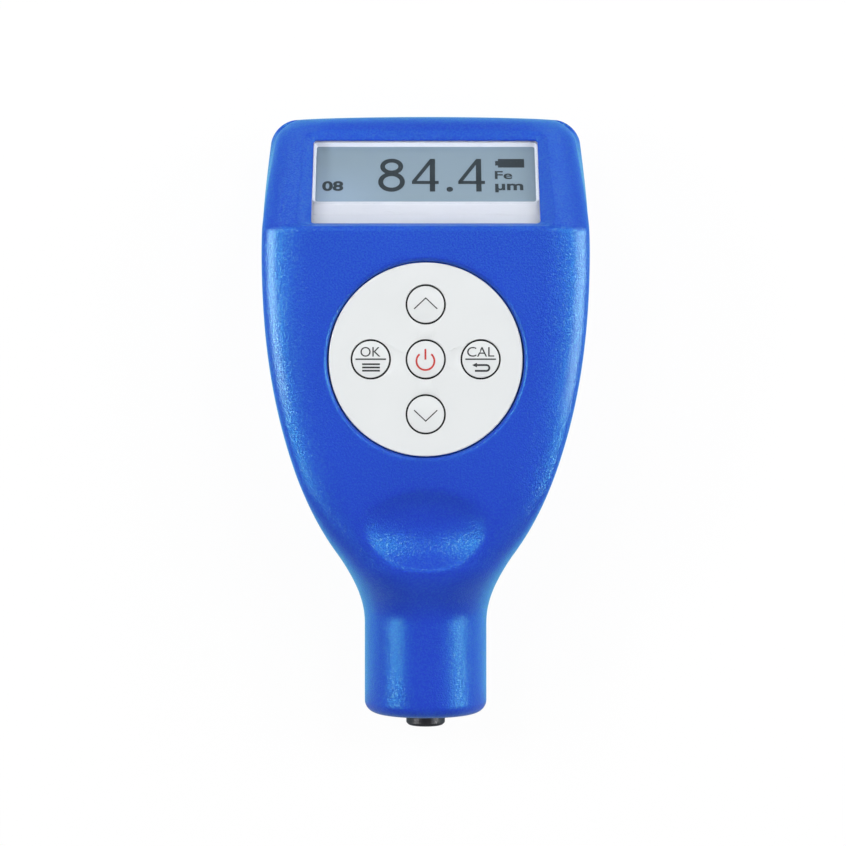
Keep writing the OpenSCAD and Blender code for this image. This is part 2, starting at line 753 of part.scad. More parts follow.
module key_switches()
    color("darkslategray")
    for (p = key_places)
        translate([p[0], p[1], 0])
            difference() {
                translate([-switch_w / 2, -switch_w / 2, board_z]) cube([switch_w, switch_w, switch_h]);
                translate([0, 0, plunger_seat_z]) cylinder(h = switch_h, d = stem_d + 2 * run_gap);
            }

module main_board()
    color("seagreen")
    difference() {
        translate([0, board_y0, board_z - board_t]) plate(board_w, board_y1 - board_y0, board_t, 1.5);
        for (p = board_screw_places)
            translate([p[0], p[1], board_z - board_t - cut])
                cylinder(h = board_t + 2 * cut, d = board_screw_d + 4 * seat_gap);
    }

chip_w = 10;
chip_t = 1.2;
module controller_chip()
    color("dimgray")
    translate([-chip_w / 2, key_y - 8, board_z - board_t - chip_t]) cube([chip_w, chip_w, chip_t]);

crystal_l = 8;
crystal_d = 3;
module crystal_can()
    color("silver")
    translate([-crystal_l / 2, board_y0 + 5, board_z + crystal_d / 2])
        rotate([0, 90, 0]) cylinder(h = crystal_l, d = crystal_d);

// The probe's socket hangs under the board, low enough to clear the battery bay
probe_socket_w = 8;
probe_socket_l = 3.6;
probe_socket_wall = 0.8;
probe_socket_h = board_z - board_t - bay_top_z - 2 * seat_gap;
module probe_socket()
    color("ivory")
    translate([-probe_socket_w / 2, board_y0 + socket_inset, board_z - board_t - probe_socket_h])
    difference() {
        cube([probe_socket_w, probe_socket_l, probe_socket_h]);
        translate([probe_socket_wall, probe_socket_wall, -cut])
            cube([
                probe_socket_w - 2 * probe_socket_wall, probe_socket_l - 2 * probe_socket_wall,
                probe_socket_h - probe_socket_wall + cut
            ]);
    }

// Pan-head screw standing on Z = 0 with its head below
module screw(d, l, head_d, head_h) {
    translate([0, 0, -head_h]) difference() {
        cylinder(h = head_h, d = head_d);
        for (a = [0, 90])
            rotate([0, 0, a]) translate([-head_d * 0.35, -head_d * 0.07, -cut])
                cube([head_d * 0.7, head_d * 0.14, cut + head_h * 0.5]);
    }
    cylinder(h = l, d = d);
}

module board_screws()
    color("silver")
    for (p = board_screw_places)
        translate([p[0], p[1], board_z - board_t])
            screw(board_screw_d, board_t + board_pilot_l - 0.8, 2 * board_boss_r - 0.6, 1.2);

module case_screws()
    color("silver")
    for (p = case_screw_places)
        translate([p[0], p[1], case_sink_z])
            screw(case_screw_d, case_joint_z - case_sink_z + case_pilot_l - 1, case_head_d, case_head_h);

// Cell along Y, with its button towards +Y or -Y
module cell(side, foot_y) {
    button_d = 4;
    can_l = cell_l - cell_button_l;
    translate([side * cell_pitch / 2, 0, cell_z]) {
        translate([0, side < 0 ? foot_y : foot_y + cell_button_l, 0])
            rotate([-90, 0, 0]) cylinder(h = can_l, d = cell_d);
        translate([0, side < 0 ? foot_y + can_l : foot_y, 0])
            rotate([-90, 0, 0]) cylinder(h = cell_button_l, d = button_d);
    }
}

module battery_left() color("gray") cell(-1, bay_y0 + contact_t + contact_spring_l);
module battery_right() color("gray") cell(1, bay_y0 + contact_t + contact_pip_l);

// Contact plates stand against the bay's end walls, with a coil for the can or a pip for the button,
// and clear the door's rounded end
contact_w = 9;
contact_h = 2 * (cell_z - 2 * hinge_z - door_gap);
contact_wire_r = 0.35;
module contact_plate(x, y, w)
    translate([x - w / 2, y, cell_z - contact_h / 2]) cube([w, contact_t, contact_h]);
module contact_coil(x, y, turn)
    translate([x, y, cell_z]) rotate([turn, 0, 0])
        coil(contact_h / 2 - contact_wire_r, 2.4, contact_spring_l + contact_t / 2, 4, contact_wire_r);
module contact_pip(x, y, turn)
    translate([x, y, cell_z]) rotate([turn, 0, 0]) cylinder(h = contact_pip_l + contact_t / 2, r1 = 2.6, r2 = 1.6);

module bridge_contact()
    color("silver") {
        contact_plate(0, bay_y0, cell_pitch + contact_w);
        contact_coil(-cell_pitch / 2, bay_y0 + contact_t / 2, -90);
        contact_pip(cell_pitch / 2, bay_y0 + contact_t / 2, -90);
    }

module positive_contact()
    color("silver") {
        contact_plate(-cell_pitch / 2, bay_y1 - contact_t, contact_w);
        contact_pip(-cell_pitch / 2, bay_y1 - contact_t / 2, 90);
    }

module negative_contact()
    color("silver") {
        contact_plate(cell_pitch / 2, bay_y1 - contact_t, contact_w);
        contact_coil(cell_pitch / 2, bay_y1 - contact_t / 2, 90);
    }

module probe_sleeve()
    color("dimgray")
    difference() {
        union() {
            bar(sleeve_y0 + sleeve_edge, sleeve_y1, tip_d / 2);
            translate([0, sleeve_y0, split_z]) rotate([-90, 0, 0])
                cylinder(h = sleeve_edge, r1 = tip_d / 2 - sleeve_edge, r2 = tip_d / 2);
            bar(collar_y, collar_y + collar_t, collar_r);
        }
        bar(sleeve_y0 - cut, sleeve_y1 + cut, sleeve_bore / 2);
    }

// Core rod with a round nose, held by the bobbin
core_y1 = sleeve_y1 + 1;
module probe_core()
    color("silver") {
        bar(tip_y + core_d / 2, core_y1, core_d / 2);
        translate([0, tip_y + core_d / 2, split_z]) sphere(d = core_d);
    }

bobbin_recess = 1.6;
bobbin_y0 = tip_y + bobbin_recess;
bobbin_y1 = sleeve_y1 - 1;
bobbin_flange_t = 0.6;
module probe_bobbin()
    color("ivory")
    difference() {
        union() {
            bar(bobbin_y0, bobbin_y1, core_d / 2 + 0.4);
            bar(bobbin_y0, bobbin_y0 + bobbin_flange_t, sleeve_bore / 2 - run_gap);
            bar(bobbin_y1 - bobbin_flange_t, bobbin_y1, sleeve_bore / 2 - run_gap);
        }
        bar(bobbin_y0 - cut, bobbin_y1 + cut, core_d / 2 + run_gap);
    }

module probe_coil()
    color("peru")
    difference() {
        bar(
            bobbin_y0 + bobbin_flange_t + run_gap, bobbin_y1 - bobbin_flange_t - run_gap,
            sleeve_bore / 2 - 2 * run_gap
        );
        bar(bobbin_y0, bobbin_y1, core_d / 2 + 0.4 + run_gap);
    }

module probe_spring()
    color("silver")
    translate([0, collar_y + collar_t + 0.05, split_z]) rotate([-90, 0, 0])
        coil(collar_r - 0.6, collar_r - 0.6, probe_spring_l, 6, 0.35);

// Flanged tube that guides the sleeve and houses its spring
module probe_guide()
    color("dimgray")
    difference() {
        union() {
            bar(guide_y0, guide_y0 + guide_flange_t, guide_flange_r);
            bar(guide_y0, guide_y1, guide_r);
        }
        bar(guide_y0 - cut, guide_y1, tip_d / 2 + run_gap);
        bar(guide_seat_y, guide_y1 + cut, collar_r + run_gap);
    }

module probe_cap()
    color("dimgray")
    difference() {
        bar(guide_y1, guide_y1 + cap_t, guide_r);
        bar(guide_y1 - cut, guide_y1 + cap_t + cut, core_d / 2 + 1);
    }

front_case();
rear_case();
battery_door();
display_window();
display_frame();
lcd_panel();
backlight_panel();
display_ribbon();
ribbon_socket();
keypad_plate();
up_key();
down_key();
ok_key();
cal_key();
power_key();
up_plunger();
down_plunger();
ok_plunger();
cal_plunger();
power_plunger();
key_switches();
main_board();
controller_chip();
crystal_can();
probe_socket();
board_screws();
case_screws();
battery_left();
battery_right();
bridge_contact();
positive_contact();
negative_contact();
probe_sleeve();
probe_core();
probe_bobbin();
probe_coil();
probe_spring();
probe_guide();
probe_cap();
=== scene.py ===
"""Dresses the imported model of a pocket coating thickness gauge.

The two shells, the key pad, the keys and the probe are built as fine surfaces from the same
formulas as the solids, with softened edges, printed signs and moulded, ground and clear finishes.
Lengths in the formulas are millimetres; a mesh is turned to metres when it is made.
"""

import math

import bpy
import numpy as np
from bpy.props import FloatProperty, FloatVectorProperty, PointerProperty
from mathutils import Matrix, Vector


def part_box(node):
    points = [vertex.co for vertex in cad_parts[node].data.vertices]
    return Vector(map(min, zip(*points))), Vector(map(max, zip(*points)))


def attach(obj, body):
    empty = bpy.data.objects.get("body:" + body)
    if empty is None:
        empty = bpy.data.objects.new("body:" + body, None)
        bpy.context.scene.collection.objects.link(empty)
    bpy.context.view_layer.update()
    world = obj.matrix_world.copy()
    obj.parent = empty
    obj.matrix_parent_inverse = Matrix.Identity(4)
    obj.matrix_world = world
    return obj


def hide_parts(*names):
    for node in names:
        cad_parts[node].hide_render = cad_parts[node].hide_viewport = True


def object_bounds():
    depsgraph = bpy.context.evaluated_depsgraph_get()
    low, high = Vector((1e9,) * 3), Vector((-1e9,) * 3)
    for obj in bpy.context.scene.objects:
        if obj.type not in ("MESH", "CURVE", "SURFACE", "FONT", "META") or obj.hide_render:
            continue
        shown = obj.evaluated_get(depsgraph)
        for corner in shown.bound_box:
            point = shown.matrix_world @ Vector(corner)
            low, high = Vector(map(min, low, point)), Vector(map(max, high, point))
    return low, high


bl_info = {
    "name": "Coating thickness gauge",
    "version": (1, 0, 0),
    "blender": (4, 5, 0),
    "location": "3D View > Sidebar > Gauge",
    "description": "Builds the visible pieces of a pocket coating thickness gauge",
    "category": "Object",
}

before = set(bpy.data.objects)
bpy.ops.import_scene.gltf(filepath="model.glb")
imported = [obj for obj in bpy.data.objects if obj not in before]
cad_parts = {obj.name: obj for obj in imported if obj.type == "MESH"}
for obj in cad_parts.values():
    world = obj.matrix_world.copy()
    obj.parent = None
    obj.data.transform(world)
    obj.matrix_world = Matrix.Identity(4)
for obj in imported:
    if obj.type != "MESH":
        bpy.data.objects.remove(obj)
CAD_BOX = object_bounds()
MM = 0.001

# Places along Y, heights along Z, radii and lengths, as in the part's source
TOP_Y = CAD_BOX[1].y / MM
TIP_Y = CAD_BOX[0].y / MM
FACE_Z = CAD_BOX[1].z / MM
NECK_END_Y = TIP_Y + 2.6
NECK_Y = NECK_END_Y + 16
WAIST_Y = NECK_Y + 27.4
HEAD_L = 21.3
CREASE_Y = TOP_Y - HEAD_L
KEY_Y = CREASE_Y - 22.9
DIMPLE_Y = NECK_Y + 17.4
SLOPE_Y = NECK_Y + 0.9
NECK_R = 11
SPLIT_Z = NECK_R
WALL = 2
HEAD_TILT = math.radians(30)
CREASE_R = 0.8
NECK_EDGE_R = 2.2
HEAD_CORNER_R = 4.2
TOP_EDGE_R = 1.89
BACK_R = 6
CROWN_W = 8.5
CROWN_H = 3
HEAD_W = 54.9
HEAD_BOW = 0.6
SIDE_LEAN = 0.9
SLOPE_L = 10
BLEND_L = 25
LEAST_R = 0.2
LEAST_FLAT = 0.8
LEAST_SIDE = 0.3
DIMPLE_LONG_R = 11.2
DIMPLE_WIDE_R = 27.45
DIMPLE_AXIS_Z = FACE_Z + 8.9
DIMPLE_REACH = 14
DIMPLE_LOW_Z = SPLIT_Z + 4

# Outline stations: place along Y, half width, slope
STATIONS = np.array([
    [NECK_Y, NECK_R, 0],
    [NECK_Y + 13, 16.1, 0.745],
    [WAIST_Y, 23.7, 0.35],
    [CREASE_Y - 4, 29.65, 0],
    [TOP_Y, HEAD_W / 2, -0.12],
])

# Keys: name and place
KEY_PITCH = 9.55
KEYS = {
    "up": (0, KEY_Y + KEY_PITCH),
    "down": (0, KEY_Y - KEY_PITCH),
    "ok": (-KEY_PITCH, KEY_Y),
    "cal": (KEY_PITCH, KEY_Y),
    "power": (0, KEY_Y),
}
KEY_R = 3.2
KEY_HOLE_R = 3.5
KEY_CROWN = 0.25
KEY_RIM = 0.75
KEY_RIM_H = 0.7
KEY_RIM_GAP = 0.08
KEY_CAP_H = 0.2
BOARD_DROP = 7.8
SWITCH_H = 3.1
PLUNGER_TOP = 0.9
STEM_R = 1.75
STEM_HOLE_R = 4.1
STEM_HOLE_Z = (20, 25)
PLATE_R = 16.85
PLATE_Z = FACE_Z - 0.35
PLATE_EDGE_R = 0.22
SEAT_Z = PLATE_Z - 1.1
POCKET_R = PLATE_R + 0.3

# Lips of the key pocket and of a key hole: growth of the radius, height from the face
POCKET_LIP = ((0, -0.56), (0.04, -0.46), (0.12, -0.36), (0.36, -0.12), (0.46, -0.045), (0.6, 0), (0.62, 0.5))
HOLE_LIP = ((0, -0.12), (0.03, -0.04), (0.1, 0), (0.12, 0.5))

# Display opening on the head: half width and ends, and its levels as depth, growth at the sides,
# above and below, and corner radius
OPENING_X = 20
OPENING_Y = (1.5, 19.7)
OPENING_LEVELS = (
    (-3.5, 1.25, 1.25, 1.25, 1.0), (-1.1, 1.25, 1.25, 1.25, 1.0), (-1.1, 0, 0, 0, 0.6), (-0.92, 0, 0, 0, 0.6),
    (-0.85, 0.05, 0.04, 0.03, 0.63), (-0.76, 0.2, 0.14, 0.1, 0.7), (-0.1, 2.35, 1.57, 1.13, 1.25),
    (-0.03, 2.68, 1.82, 1.3, 1.4), (0.0, 3.0, 2.1, 1.4, 1.5), (0.3, 3.02, 2.12, 1.42, 1.5),
    (0.6, 3.02, 2.12, 1.42, 1.5),
)
READING_Z = -2.7

# Probe sleeve, with its nose as radius and place from the tip, and its hole in the neck
TIP_R = 3.5
SLEEVE_BORE_R = 2.3
SLEEVE_NOSE = (
    (SLEEVE_BORE_R, 0.1), (2.4, 0.02), (2.55, 0), (TIP_R - 0.5, 0.02), (TIP_R - 0.35, 0.1),
    (TIP_R - 0.09, 0.36), (TIP_R - 0.02, 0.46), (TIP_R, 0.6),
)
SLEEVE_TAIL = 1
COLLAR_R = 4.7
COLLAR_L = 1.8
PROBE_HOLE_R = TIP_R + 0.35
PROBE_HOLE_Y = (-54, -49.4)

# Battery bay, door recess with its edge as growth and height, hinge, and screw wells as radius and height;
# what is cut from the back starts at BELOW_Z
BELOW_Z = -1
BAY_X = 11.15
BAY_Y = (-12.7, 38.3)
BAY_Z = 12.9
BAY_CORNER_R = 0.3
BAY_WALL = 1.5
BAY_WALL_R = 0.4
BAY_WALL_Z = 1
RECESS_X = 13.25
RECESS_Y = (-14.8, 40.4)
RECESS_Z = 1.95
RECESS_CORNER_R = 0.6
RECESS_EDGE = ((0.35, BELOW_Z), (0.35, 0), (0.1, 0.12), (0, 0.35), (0, RECESS_Z))
PAD_GROWTH = 2.8
PAD_CORNER_R = 2
PAD_Z = (1.01, 4.05)
HINGE = (-12.95, 1.6)
KNUCKLE_R = 1.85
PIN_R = 0.85
PIN_X = 14.85
NOTCH_X = 5.25
NOTCH_Z = 3.85
NOTCH_CORNER_R = 0.3
DISH_R = 12
DISH_AT = (0, RECESS_Y[1] + 1.5, -10.8)
WELL_Y = (WAIST_Y + 3, CREASE_Y - 8.4)
WELL_INSET = 7.4
WELL_PROFILE = (
    (0, BELOW_Z), (2.75, BELOW_Z), (2.75, 0), (2.5, 0.08), (2.38, 0.3), (2.35, 0.5), (2.35, 3.5),
    (1.4, 3.5), (1.4, 10), (0, 10),
)
BOSS_R = 3.95
BOSS_Z = (1.5, 8)

# Folds steeper than this stay sharp, and a printed mark lies this far above and below its surface
SHARP_FOLD = math.radians(32)
INK_LIFT = 0.02

# Floor, and the camera's place and scale: the photograph has 0.1736 mm a pixel at the key face
FLOOR_HALF = 1500
FLOOR_Z = -0.02
PHOTO_PIXELS = 846
PIXEL_SIZE = 0.0001736
SENSOR_W = 36
CAMERA_XY = (-0.00047, -0.00026)

# Light of the room, and lamps round one point in the case: angle from the vertical, heading from +X,
# distance, size across, size along, power
ROOM_STRENGTH = 0.12
LAMP_AIM = (0, 0, 0.02)
LAMPS = {
    "strip_left": (58, 180, 0.4, 0.05, 0.36, 0.7),
    "strip_right": (68, 0, 0.4, 0.05, 0.36, 0.78),
    "rim_left": (53, 169, 0.4, 0.05, 0.14, 0.33),
    "rim_right": (51, 11, 0.4, 0.05, 0.14, 0.36),
    "bevel_left": (73.5, 109, 0.48, 0.1, 0.1, 0.12),
    "bevel_right": (73.5, 71, 0.48, 0.1, 0.1, 0.15),
    "soft_left": (36, 138, 1.4, 0.4, 0.4, 4.5),
    "soft_right": (36, 42, 1.4, 0.4, 0.4, 4.5),
    "fill_low": (55, 270, 0.6, 0.3, 0.4, 0.08),
}

# Band of the crowned edge that the hand has worn smooth, in metres: axis, where it fades out, where it is full
WORN_BAND = (("Z", 0.0237, 0.0245), ("Z", 0.0254, 0.0249), ("Y", -0.002, 0.007), ("Y", 0.0355, 0.0325))


def linear(code):
    """Linear colour with alpha 1 from an sRGB hex code."""
    c = np.array([int(code[k:k + 2], 16) for k in (1, 3, 5)]) / 255
    c = np.where(c <= 0.04045, c / 12.92, ((c + 0.055) / 1.055) ** 2.4)
    return (*c.tolist(), 1.0)


def ease(u):
    """Smooth step from 0 to 1: t squared times 3 minus 2 t."""
    t = np.clip(u, 0, 1)
    return t * t * (3 - 2 * t)


def draw_in(d, r):
    """How far a rounded end of radius r has drawn in, at distance d from the end."""
    x = np.clip(r - np.maximum(d, 0), 0, r)
    return r - np.sqrt(r * r - x * x)


def side_width(y):
    """Half width of the outline: cubics through the stations with their slopes, straight on the neck."""
    k = np.clip(np.searchsorted(STATIONS[:, 0], y, side="right") - 1, 0, len(STATIONS) - 2)
    a, b = STATIONS[k].T, STATIONS[k + 1].T
    h = b[0] - a[0]
    t = (y - a[0]) / h
    w = (2 * t**3 - 3 * t**2 + 1) * a[1] + (t**3 - 2 * t**2 + t) * h * a[2]
    w = w + (3 * t**2 - 2 * t**3) * b[1] + (t**3 - t**2) * h * b[2]
    return np.where(y <= NECK_Y, NECK_R, w)


def front_height(y):
    """Height of the front: neck, eased slope to the key face, rounded crease and sloping head."""
    d = y - CREASE_Y
    bend = np.where(d >= CREASE_R, d, np.maximum(d + CREASE_R, 0) ** 2 / (4 * CREASE_R))
    rise = 2 * NECK_R + (FACE_Z - 2 * NECK_R) * ease((y - SLOPE_Y) / SLOPE_L)
    return rise - math.tan(HEAD_TILT) * bend


def shell_section(y, inset, front):
    """A shell's section: half widths at joint and corner, face height and the corner's half axes.

    The section lies inset inside the outer skin. Towards the body the sides lean in and the corner
    changes from the neck's round to a crowned edge.
    """
    top, neck = TOP_Y - inset - y, y - NECK_END_Y - inset
    end_neck = draw_in(neck, max(LEAST_R, NECK_EDGE_R - inset))
    w = side_width(y) - inset - draw_in(top, max(LEAST_R, HEAD_CORNER_R - inset)) - end_neck
    if front:
        z = front_height(y) - inset - draw_in(top, max(LEAST_R, TOP_EDGE_R - inset)) - end_neck
    else:
        z = inset + draw_in(top, max(LEAST_R, BACK_R / 2 - inset)) + end_neck
    share = ease((y - SLOPE_Y) / BLEND_L)
    wide, high = (CROWN_W, CROWN_H) if front else (BACK_R, BACK_R)
    shoulder = w - SIDE_LEAN * share
    ew = np.minimum(NECK_R + (wide - NECK_R) * share - inset, shoulder - LEAST_FLAT)
    eh = np.minimum(NECK_R + (high - NECK_R) * share - inset, abs(z - SPLIT_Z) - LEAST_SIDE)
    return w, shoulder, z, ew, np.maximum(LEAST_R, eh)


def dimple_height(x, y):
    """Bowl of the thumb dimple: an arc turned about a cross axis above the face.

    The arc's radius at x is r(x) = rl - rw + sqrt(rw^2 - x^2), and the bowl lies at
    z = axis - sqrt(r(x)^2 - (y - dimple)^2).
    """
    rl, rw, axis = DIMPLE_LONG_R, DIMPLE_WIDE_R, DIMPLE_AXIS_Z
    r = rl - rw + np.sqrt(rw**2 - np.clip(x, -rw, rw) ** 2)
    return axis - np.sqrt(np.maximum(np.maximum(r, 0) ** 2 - (y - DIMPLE_Y) ** 2, 0))


def shell_skin(y, inset, front, seam, soft):
    """Skin of a shell, one row for each y and one column for each step round the section.

    A section runs from the right joint line to the left one: a quarter round of radius seam, the
    leaning side, the elliptical corner x = w - ew (1 - cos a), z = face -+ eh (1 - sin a), and
    the flat to the middle, mirrored. The front takes the lower of skin and dimple, blended over
    the height soft as half of a + b - sqrt((a - b)^2 + soft^2). The head's top edge is bowed.
    """
    w, shoulder, z, ew, eh = (v[:, None] for v in shell_section(y, inset, front))
    up = 1 if front else -1
    lip = np.radians(np.linspace(-90, 0, 5))
    turn = np.radians(np.linspace(0, 90, 25))
    side = np.linspace(0, 1, 6)[1:-1]
    flat = np.linspace(1, 0, 29)[1:]
    foot, head = SPLIT_Z + up * seam, z - up * eh
    x = np.hstack([
        w - seam + seam * np.cos(lip), w + (shoulder - w) * side,
        shoulder - ew + ew * np.cos(turn), (shoulder - ew) * flat,
    ])
    h = np.hstack([
        SPLIT_Z + up * seam * (1 + np.sin(lip)) + 0 * z, foot + (head - foot) * side,
        head + up * eh * np.sin(turn), z + 0 * flat,
    ])
    x = np.hstack([x, -x[:, -2::-1]])
    h = np.hstack([h, h[:, -2::-1]])
    yy = y[:, None] - HEAD_BOW * (2 * x / HEAD_W) ** 2 * ease((y[:, None] - CREASE_Y) / HEAD_L)
    if front:
        bowl = dimple_height(x, yy) - inset
        near = (abs(yy - DIMPLE_Y) < DIMPLE_REACH) & (h > DIMPLE_LOW_Z)
        h = np.where(near, 0.5 * (h + bowl - np.sqrt((h - bowl) ** 2 + soft**2)), h)
    return np.stack([x, yy, h], -1)


def grid_quads(rows, cols, wrap=False):
    """Index quads of a grid of points, rows by cols, the columns joined round where wrap is set."""
    j, i = np.mgrid[0:rows - 1, 0:cols - (not wrap)]
    k = (i + 1) % cols
    corners = [j * cols + i, j * cols + k, (j + 1) * cols + k, (j + 1) * cols + i]
    return np.stack(corners, -1).reshape(-1, 4)


def make(name, points, faces):
    """New object at the origin from points in millimetres and lists of index faces."""
    mesh = bpy.data.meshes.new(name)
    mesh.from_pydata((np.asarray(points, float) * MM).tolist(), [], [list(map(int, f)) for f in faces])
    mesh.update()
    obj = bpy.data.objects.new(name, mesh)
    bpy.context.scene.collection.objects.link(obj)
    return obj


def shell(name, front, seam, soft):
    """Closed shell: outer skin, inner skin one wall inside, end walls in strips, and the joint rim."""
    quarter = np.radians(np.linspace(0, 90, 13))
    y = np.concatenate([
        NECK_END_Y + NECK_EDGE_R * (1 - np.cos(quarter))[:-1],
        np.linspace(NECK_END_Y + NECK_EDGE_R, NECK_Y, 12, endpoint=False),
        np.linspace(NECK_Y, WAIST_Y, 70, endpoint=False),
        np.linspace(WAIST_Y, CREASE_Y - CREASE_R, 40, endpoint=False),
        np.linspace(CREASE_Y - CREASE_R, CREASE_Y + CREASE_R, 10, endpoint=False),
        np.linspace(CREASE_Y + CREASE_R, TOP_Y - HEAD_CORNER_R, 20, endpoint=False),
        TOP_Y - HEAD_CORNER_R * (1 - np.sin(np.radians(np.linspace(0, 90, 19)))),
    ])
    # Over a zone at either end the inner skin is drawn in by one wall
    zone = 7
    draw = np.maximum(y - TOP_Y + zone, 0) - np.maximum(NECK_END_Y + zone - y, 0)
    outer = shell_skin(y, 0, front, seam, soft)
    inner = shell_skin(y - draw * WALL / zone, WALL, front, seam, soft)
    m, n = outer.shape[0] - 1, outer.shape[1]
    deep, mid, last = n * (m + 1), n // 2, n - 1
    skin = grid_quads(m + 1, n)
    i = np.arange(mid - 2)
    ends = np.stack([i, i + 1, n - 2 - i, n - 1 - i], -1)
    tips = np.array([[mid - 2, mid - 1, mid], [mid - 2, mid, mid + 2], [mid, mid + 1, mid + 2]])
    j = np.arange(m) * n
    faces = [skin, skin[:, ::-1] + deep]
    for q in (ends, tips):
        faces += [q[:, ::-1], q + m * n, q + deep, q[:, ::-1] + deep + m * n]
    faces += [
        np.stack([j, j + n, deep + j + n, deep + j], -1),
        np.stack([j + n + last, j + last, deep + j + last, deep + j + n + last], -1),
        np.array([[last, 0, deep, deep + last], [m * n, m * n + last, deep + m * n + last, deep + m * n]]),
    ]
    points = np.vstack([outer.reshape(-1, 3), inner.reshape(-1, 3)])
    way = slice(None, None, -1 if front else 1)
    return make(name, points, [f[way] for q in faces for f in q])


def turned(name, profile, centre, count=96, along_y=False):
    """Profile of radius and height turned about an axis: x = r cos a, y = r sin a, z = height.

    The profile runs from a pole on the axis, outwards, up and back to a pole. A profile that
    doesn't start on the axis is taken as a closed loop. With along_y the axis lies along Y.
    """
    p = np.asarray(profile, float)
    a = np.linspace(0, 2 * np.pi, count, endpoint=False)
    poles = p[0, 0] < 1e-9
    body = p[1:-1] if poles else np.vstack([p, p[:1]])
    r, h = body[:, :1], body[:, 1:]
    points = np.stack([r * np.cos(a), r * np.sin(a), h + 0 * a], -1).reshape(-1, 3)
    quads = grid_quads(len(body), count, wrap=True)
    faces = list(quads)
    if poles:
        k, low, high = np.arange(count), len(points), len(points) + 1
        top = (len(body) - 1) * count
        faces += [(low, (i + 1) % count, i) for i in k] + [(high, top + i, top + (i + 1) % count) for i in k]
        points = np.vstack([points, [[0, 0, p[0, 1]], [0, 0, p[-1, 1]]]])
    else:
        faces = list(np.where(quads >= (len(body) - 1) * count, quads - (len(body) - 1) * count, quads))
        points = points[:(len(body) - 1) * count]
    if along_y:
        points = points[:, [0, 2, 1]] * (-1, 1, 1)
    return make(name, points + np.asarray(centre, float), faces)


def lofted(name, rings):
    """Closed solid through equal rings of points, from the lowest to the highest, with flat ends."""
    rings = np.asarray(rings, float)
    count, n = rings.shape[:2]
    faces = list(grid_quads(count, n, wrap=True))
    faces += [np.arange(n)[::-1], np.arange(n) + (count - 1) * n]
    return make(name, rings.reshape(-1, 3), faces)


def rounded(x, y0, y1, r, z):
    """Ring of a rectangle with rounded corners, from -x to x and y0 to y1 at height z, anticlockwise."""
    a = np.radians(np.linspace(0, 90, 8))
    quarters = [(x - r, y1 - r, 0), (r - x, y1 - r, 90), (r - x, y0 + r, 180), (x - r, y0 + r, 270)]
    ring = np.vstack([
        np.column_stack([cx + r * np.cos(a + math.radians(t)), cy + r * np.sin(a + math.radians(t))])
        for cx, cy, t in quarters])
    return np.column_stack([ring, np.full(len(ring), z)])


def plug(name, r, low, high, centre=(0, 0, 0), count=64, along_y=False):
    """Plain cylinder of radius r between two heights."""
    return turned(name, [(0, low), (r, low), (r, high), (0, high)], centre, count, along_y)


def probe_hole():
    """Cutter for the hole in the neck's end that the probe runs in."""
    return plug("probe", PROBE_HOLE_R, *PROBE_HOLE_Y, (0, 0, SPLIT_Z), 96, along_y=True)


def on_head(p):
    """Points of the head's own frame, X across, Y up its slope and Z out of it, in the gauge's frame."""
    x, y, z = np.moveaxis(np.asarray(p, float), -1, 0)
    c, s = math.cos(HEAD_TILT), math.sin(HEAD_TILT)
    return np.stack([x, CREASE_Y + y * c + z * s, FACE_Z - y * s + z * c], -1)


def reading_height(x, y):
    """Height of the display's reading in the head's frame, the same everywhere."""
    return np.full(np.shape(x), READING_Z)


def key_top(x, y):
    """Height of a key's face at x and y from its centre: a ball of radius r that rises by the crown."""
    r = (KEY_R**2 + KEY_CROWN**2) / (2 * KEY_CROWN)
    return PLATE_Z + KEY_CROWN - r + np.sqrt(r * r - np.asarray(x) ** 2 - np.asarray(y) ** 2)


def carve(obj, how, *cutters):
    """Adds or cuts each closed solid, keeps the result as the object's mesh and removes the solids."""
    for cutter in cutters:
        step = obj.modifiers.new("carve", "BOOLEAN")
        step.operation = how
        step.solver = "MANIFOLD"
        step.object = cutter
        done = bpy.data.meshes.new_from_object(obj.evaluated_get(bpy.context.evaluated_depsgraph_get()))
        obj.modifiers.clear()
        old, obj.data = obj.data, done
        bpy.data.meshes.remove(old)
        bpy.data.meshes.remove(cutter.data)
    return obj


def finish_piece(obj, material, body, slot, *nodes):
    """Smooth shading with sharp folds, a material, a body to ride on and the nodes it stands for."""
    mesh = obj.data
    mesh.name = obj.name
    mesh.shade_smooth()
    mesh.set_sharp_from_angle(angle=SHARP_FOLD)
    even = obj.modifiers.new("even_normals", "WEIGHTED_NORMAL")
    even.keep_sharp = True
    even.weight = 100
    mesh.materials.clear()
    mesh.materials.append(material)
    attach(obj, body)
    if nodes:
        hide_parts(*nodes)
    return obj


def put(tree, kind, inputs=None, **settings):
    """Adds a node, sets its properties, and sets or links its inputs."""
    node = tree.nodes.new(kind)
    for key, value in settings.items():
        setattr(node, key, value)
    for key, value in (inputs or {}).items():
        if isinstance(value, bpy.types.NodeSocket):
            tree.links.new(value, node.inputs[key])
        else:
            node.inputs[key].default_value = value
    return node


def new_material(name):
    """Empty node material, its tree and its Object coordinates."""
    mat = bpy.data.materials.new(name)
    mat.use_nodes = True
    mat.node_tree.nodes.clear()
    return mat, mat.node_tree, put(mat.node_tree, "ShaderNodeTexCoord").outputs["Object"]


def shaded(mat, shader):
    """Links a shader to the material's output."""
    put(mat.node_tree, "ShaderNodeOutputMaterial", {"Surface": shader.outputs[0]})
    return mat


def noise(tree, place, size, detail=2.0, **more):
    """Noise whose features have the given size in metres."""
    inputs = {"Vector": place, "Scale": 1 / size, "Detail": detail, **more}
    return put(tree, "ShaderNodeTexNoise", inputs).outputs["Fac"]


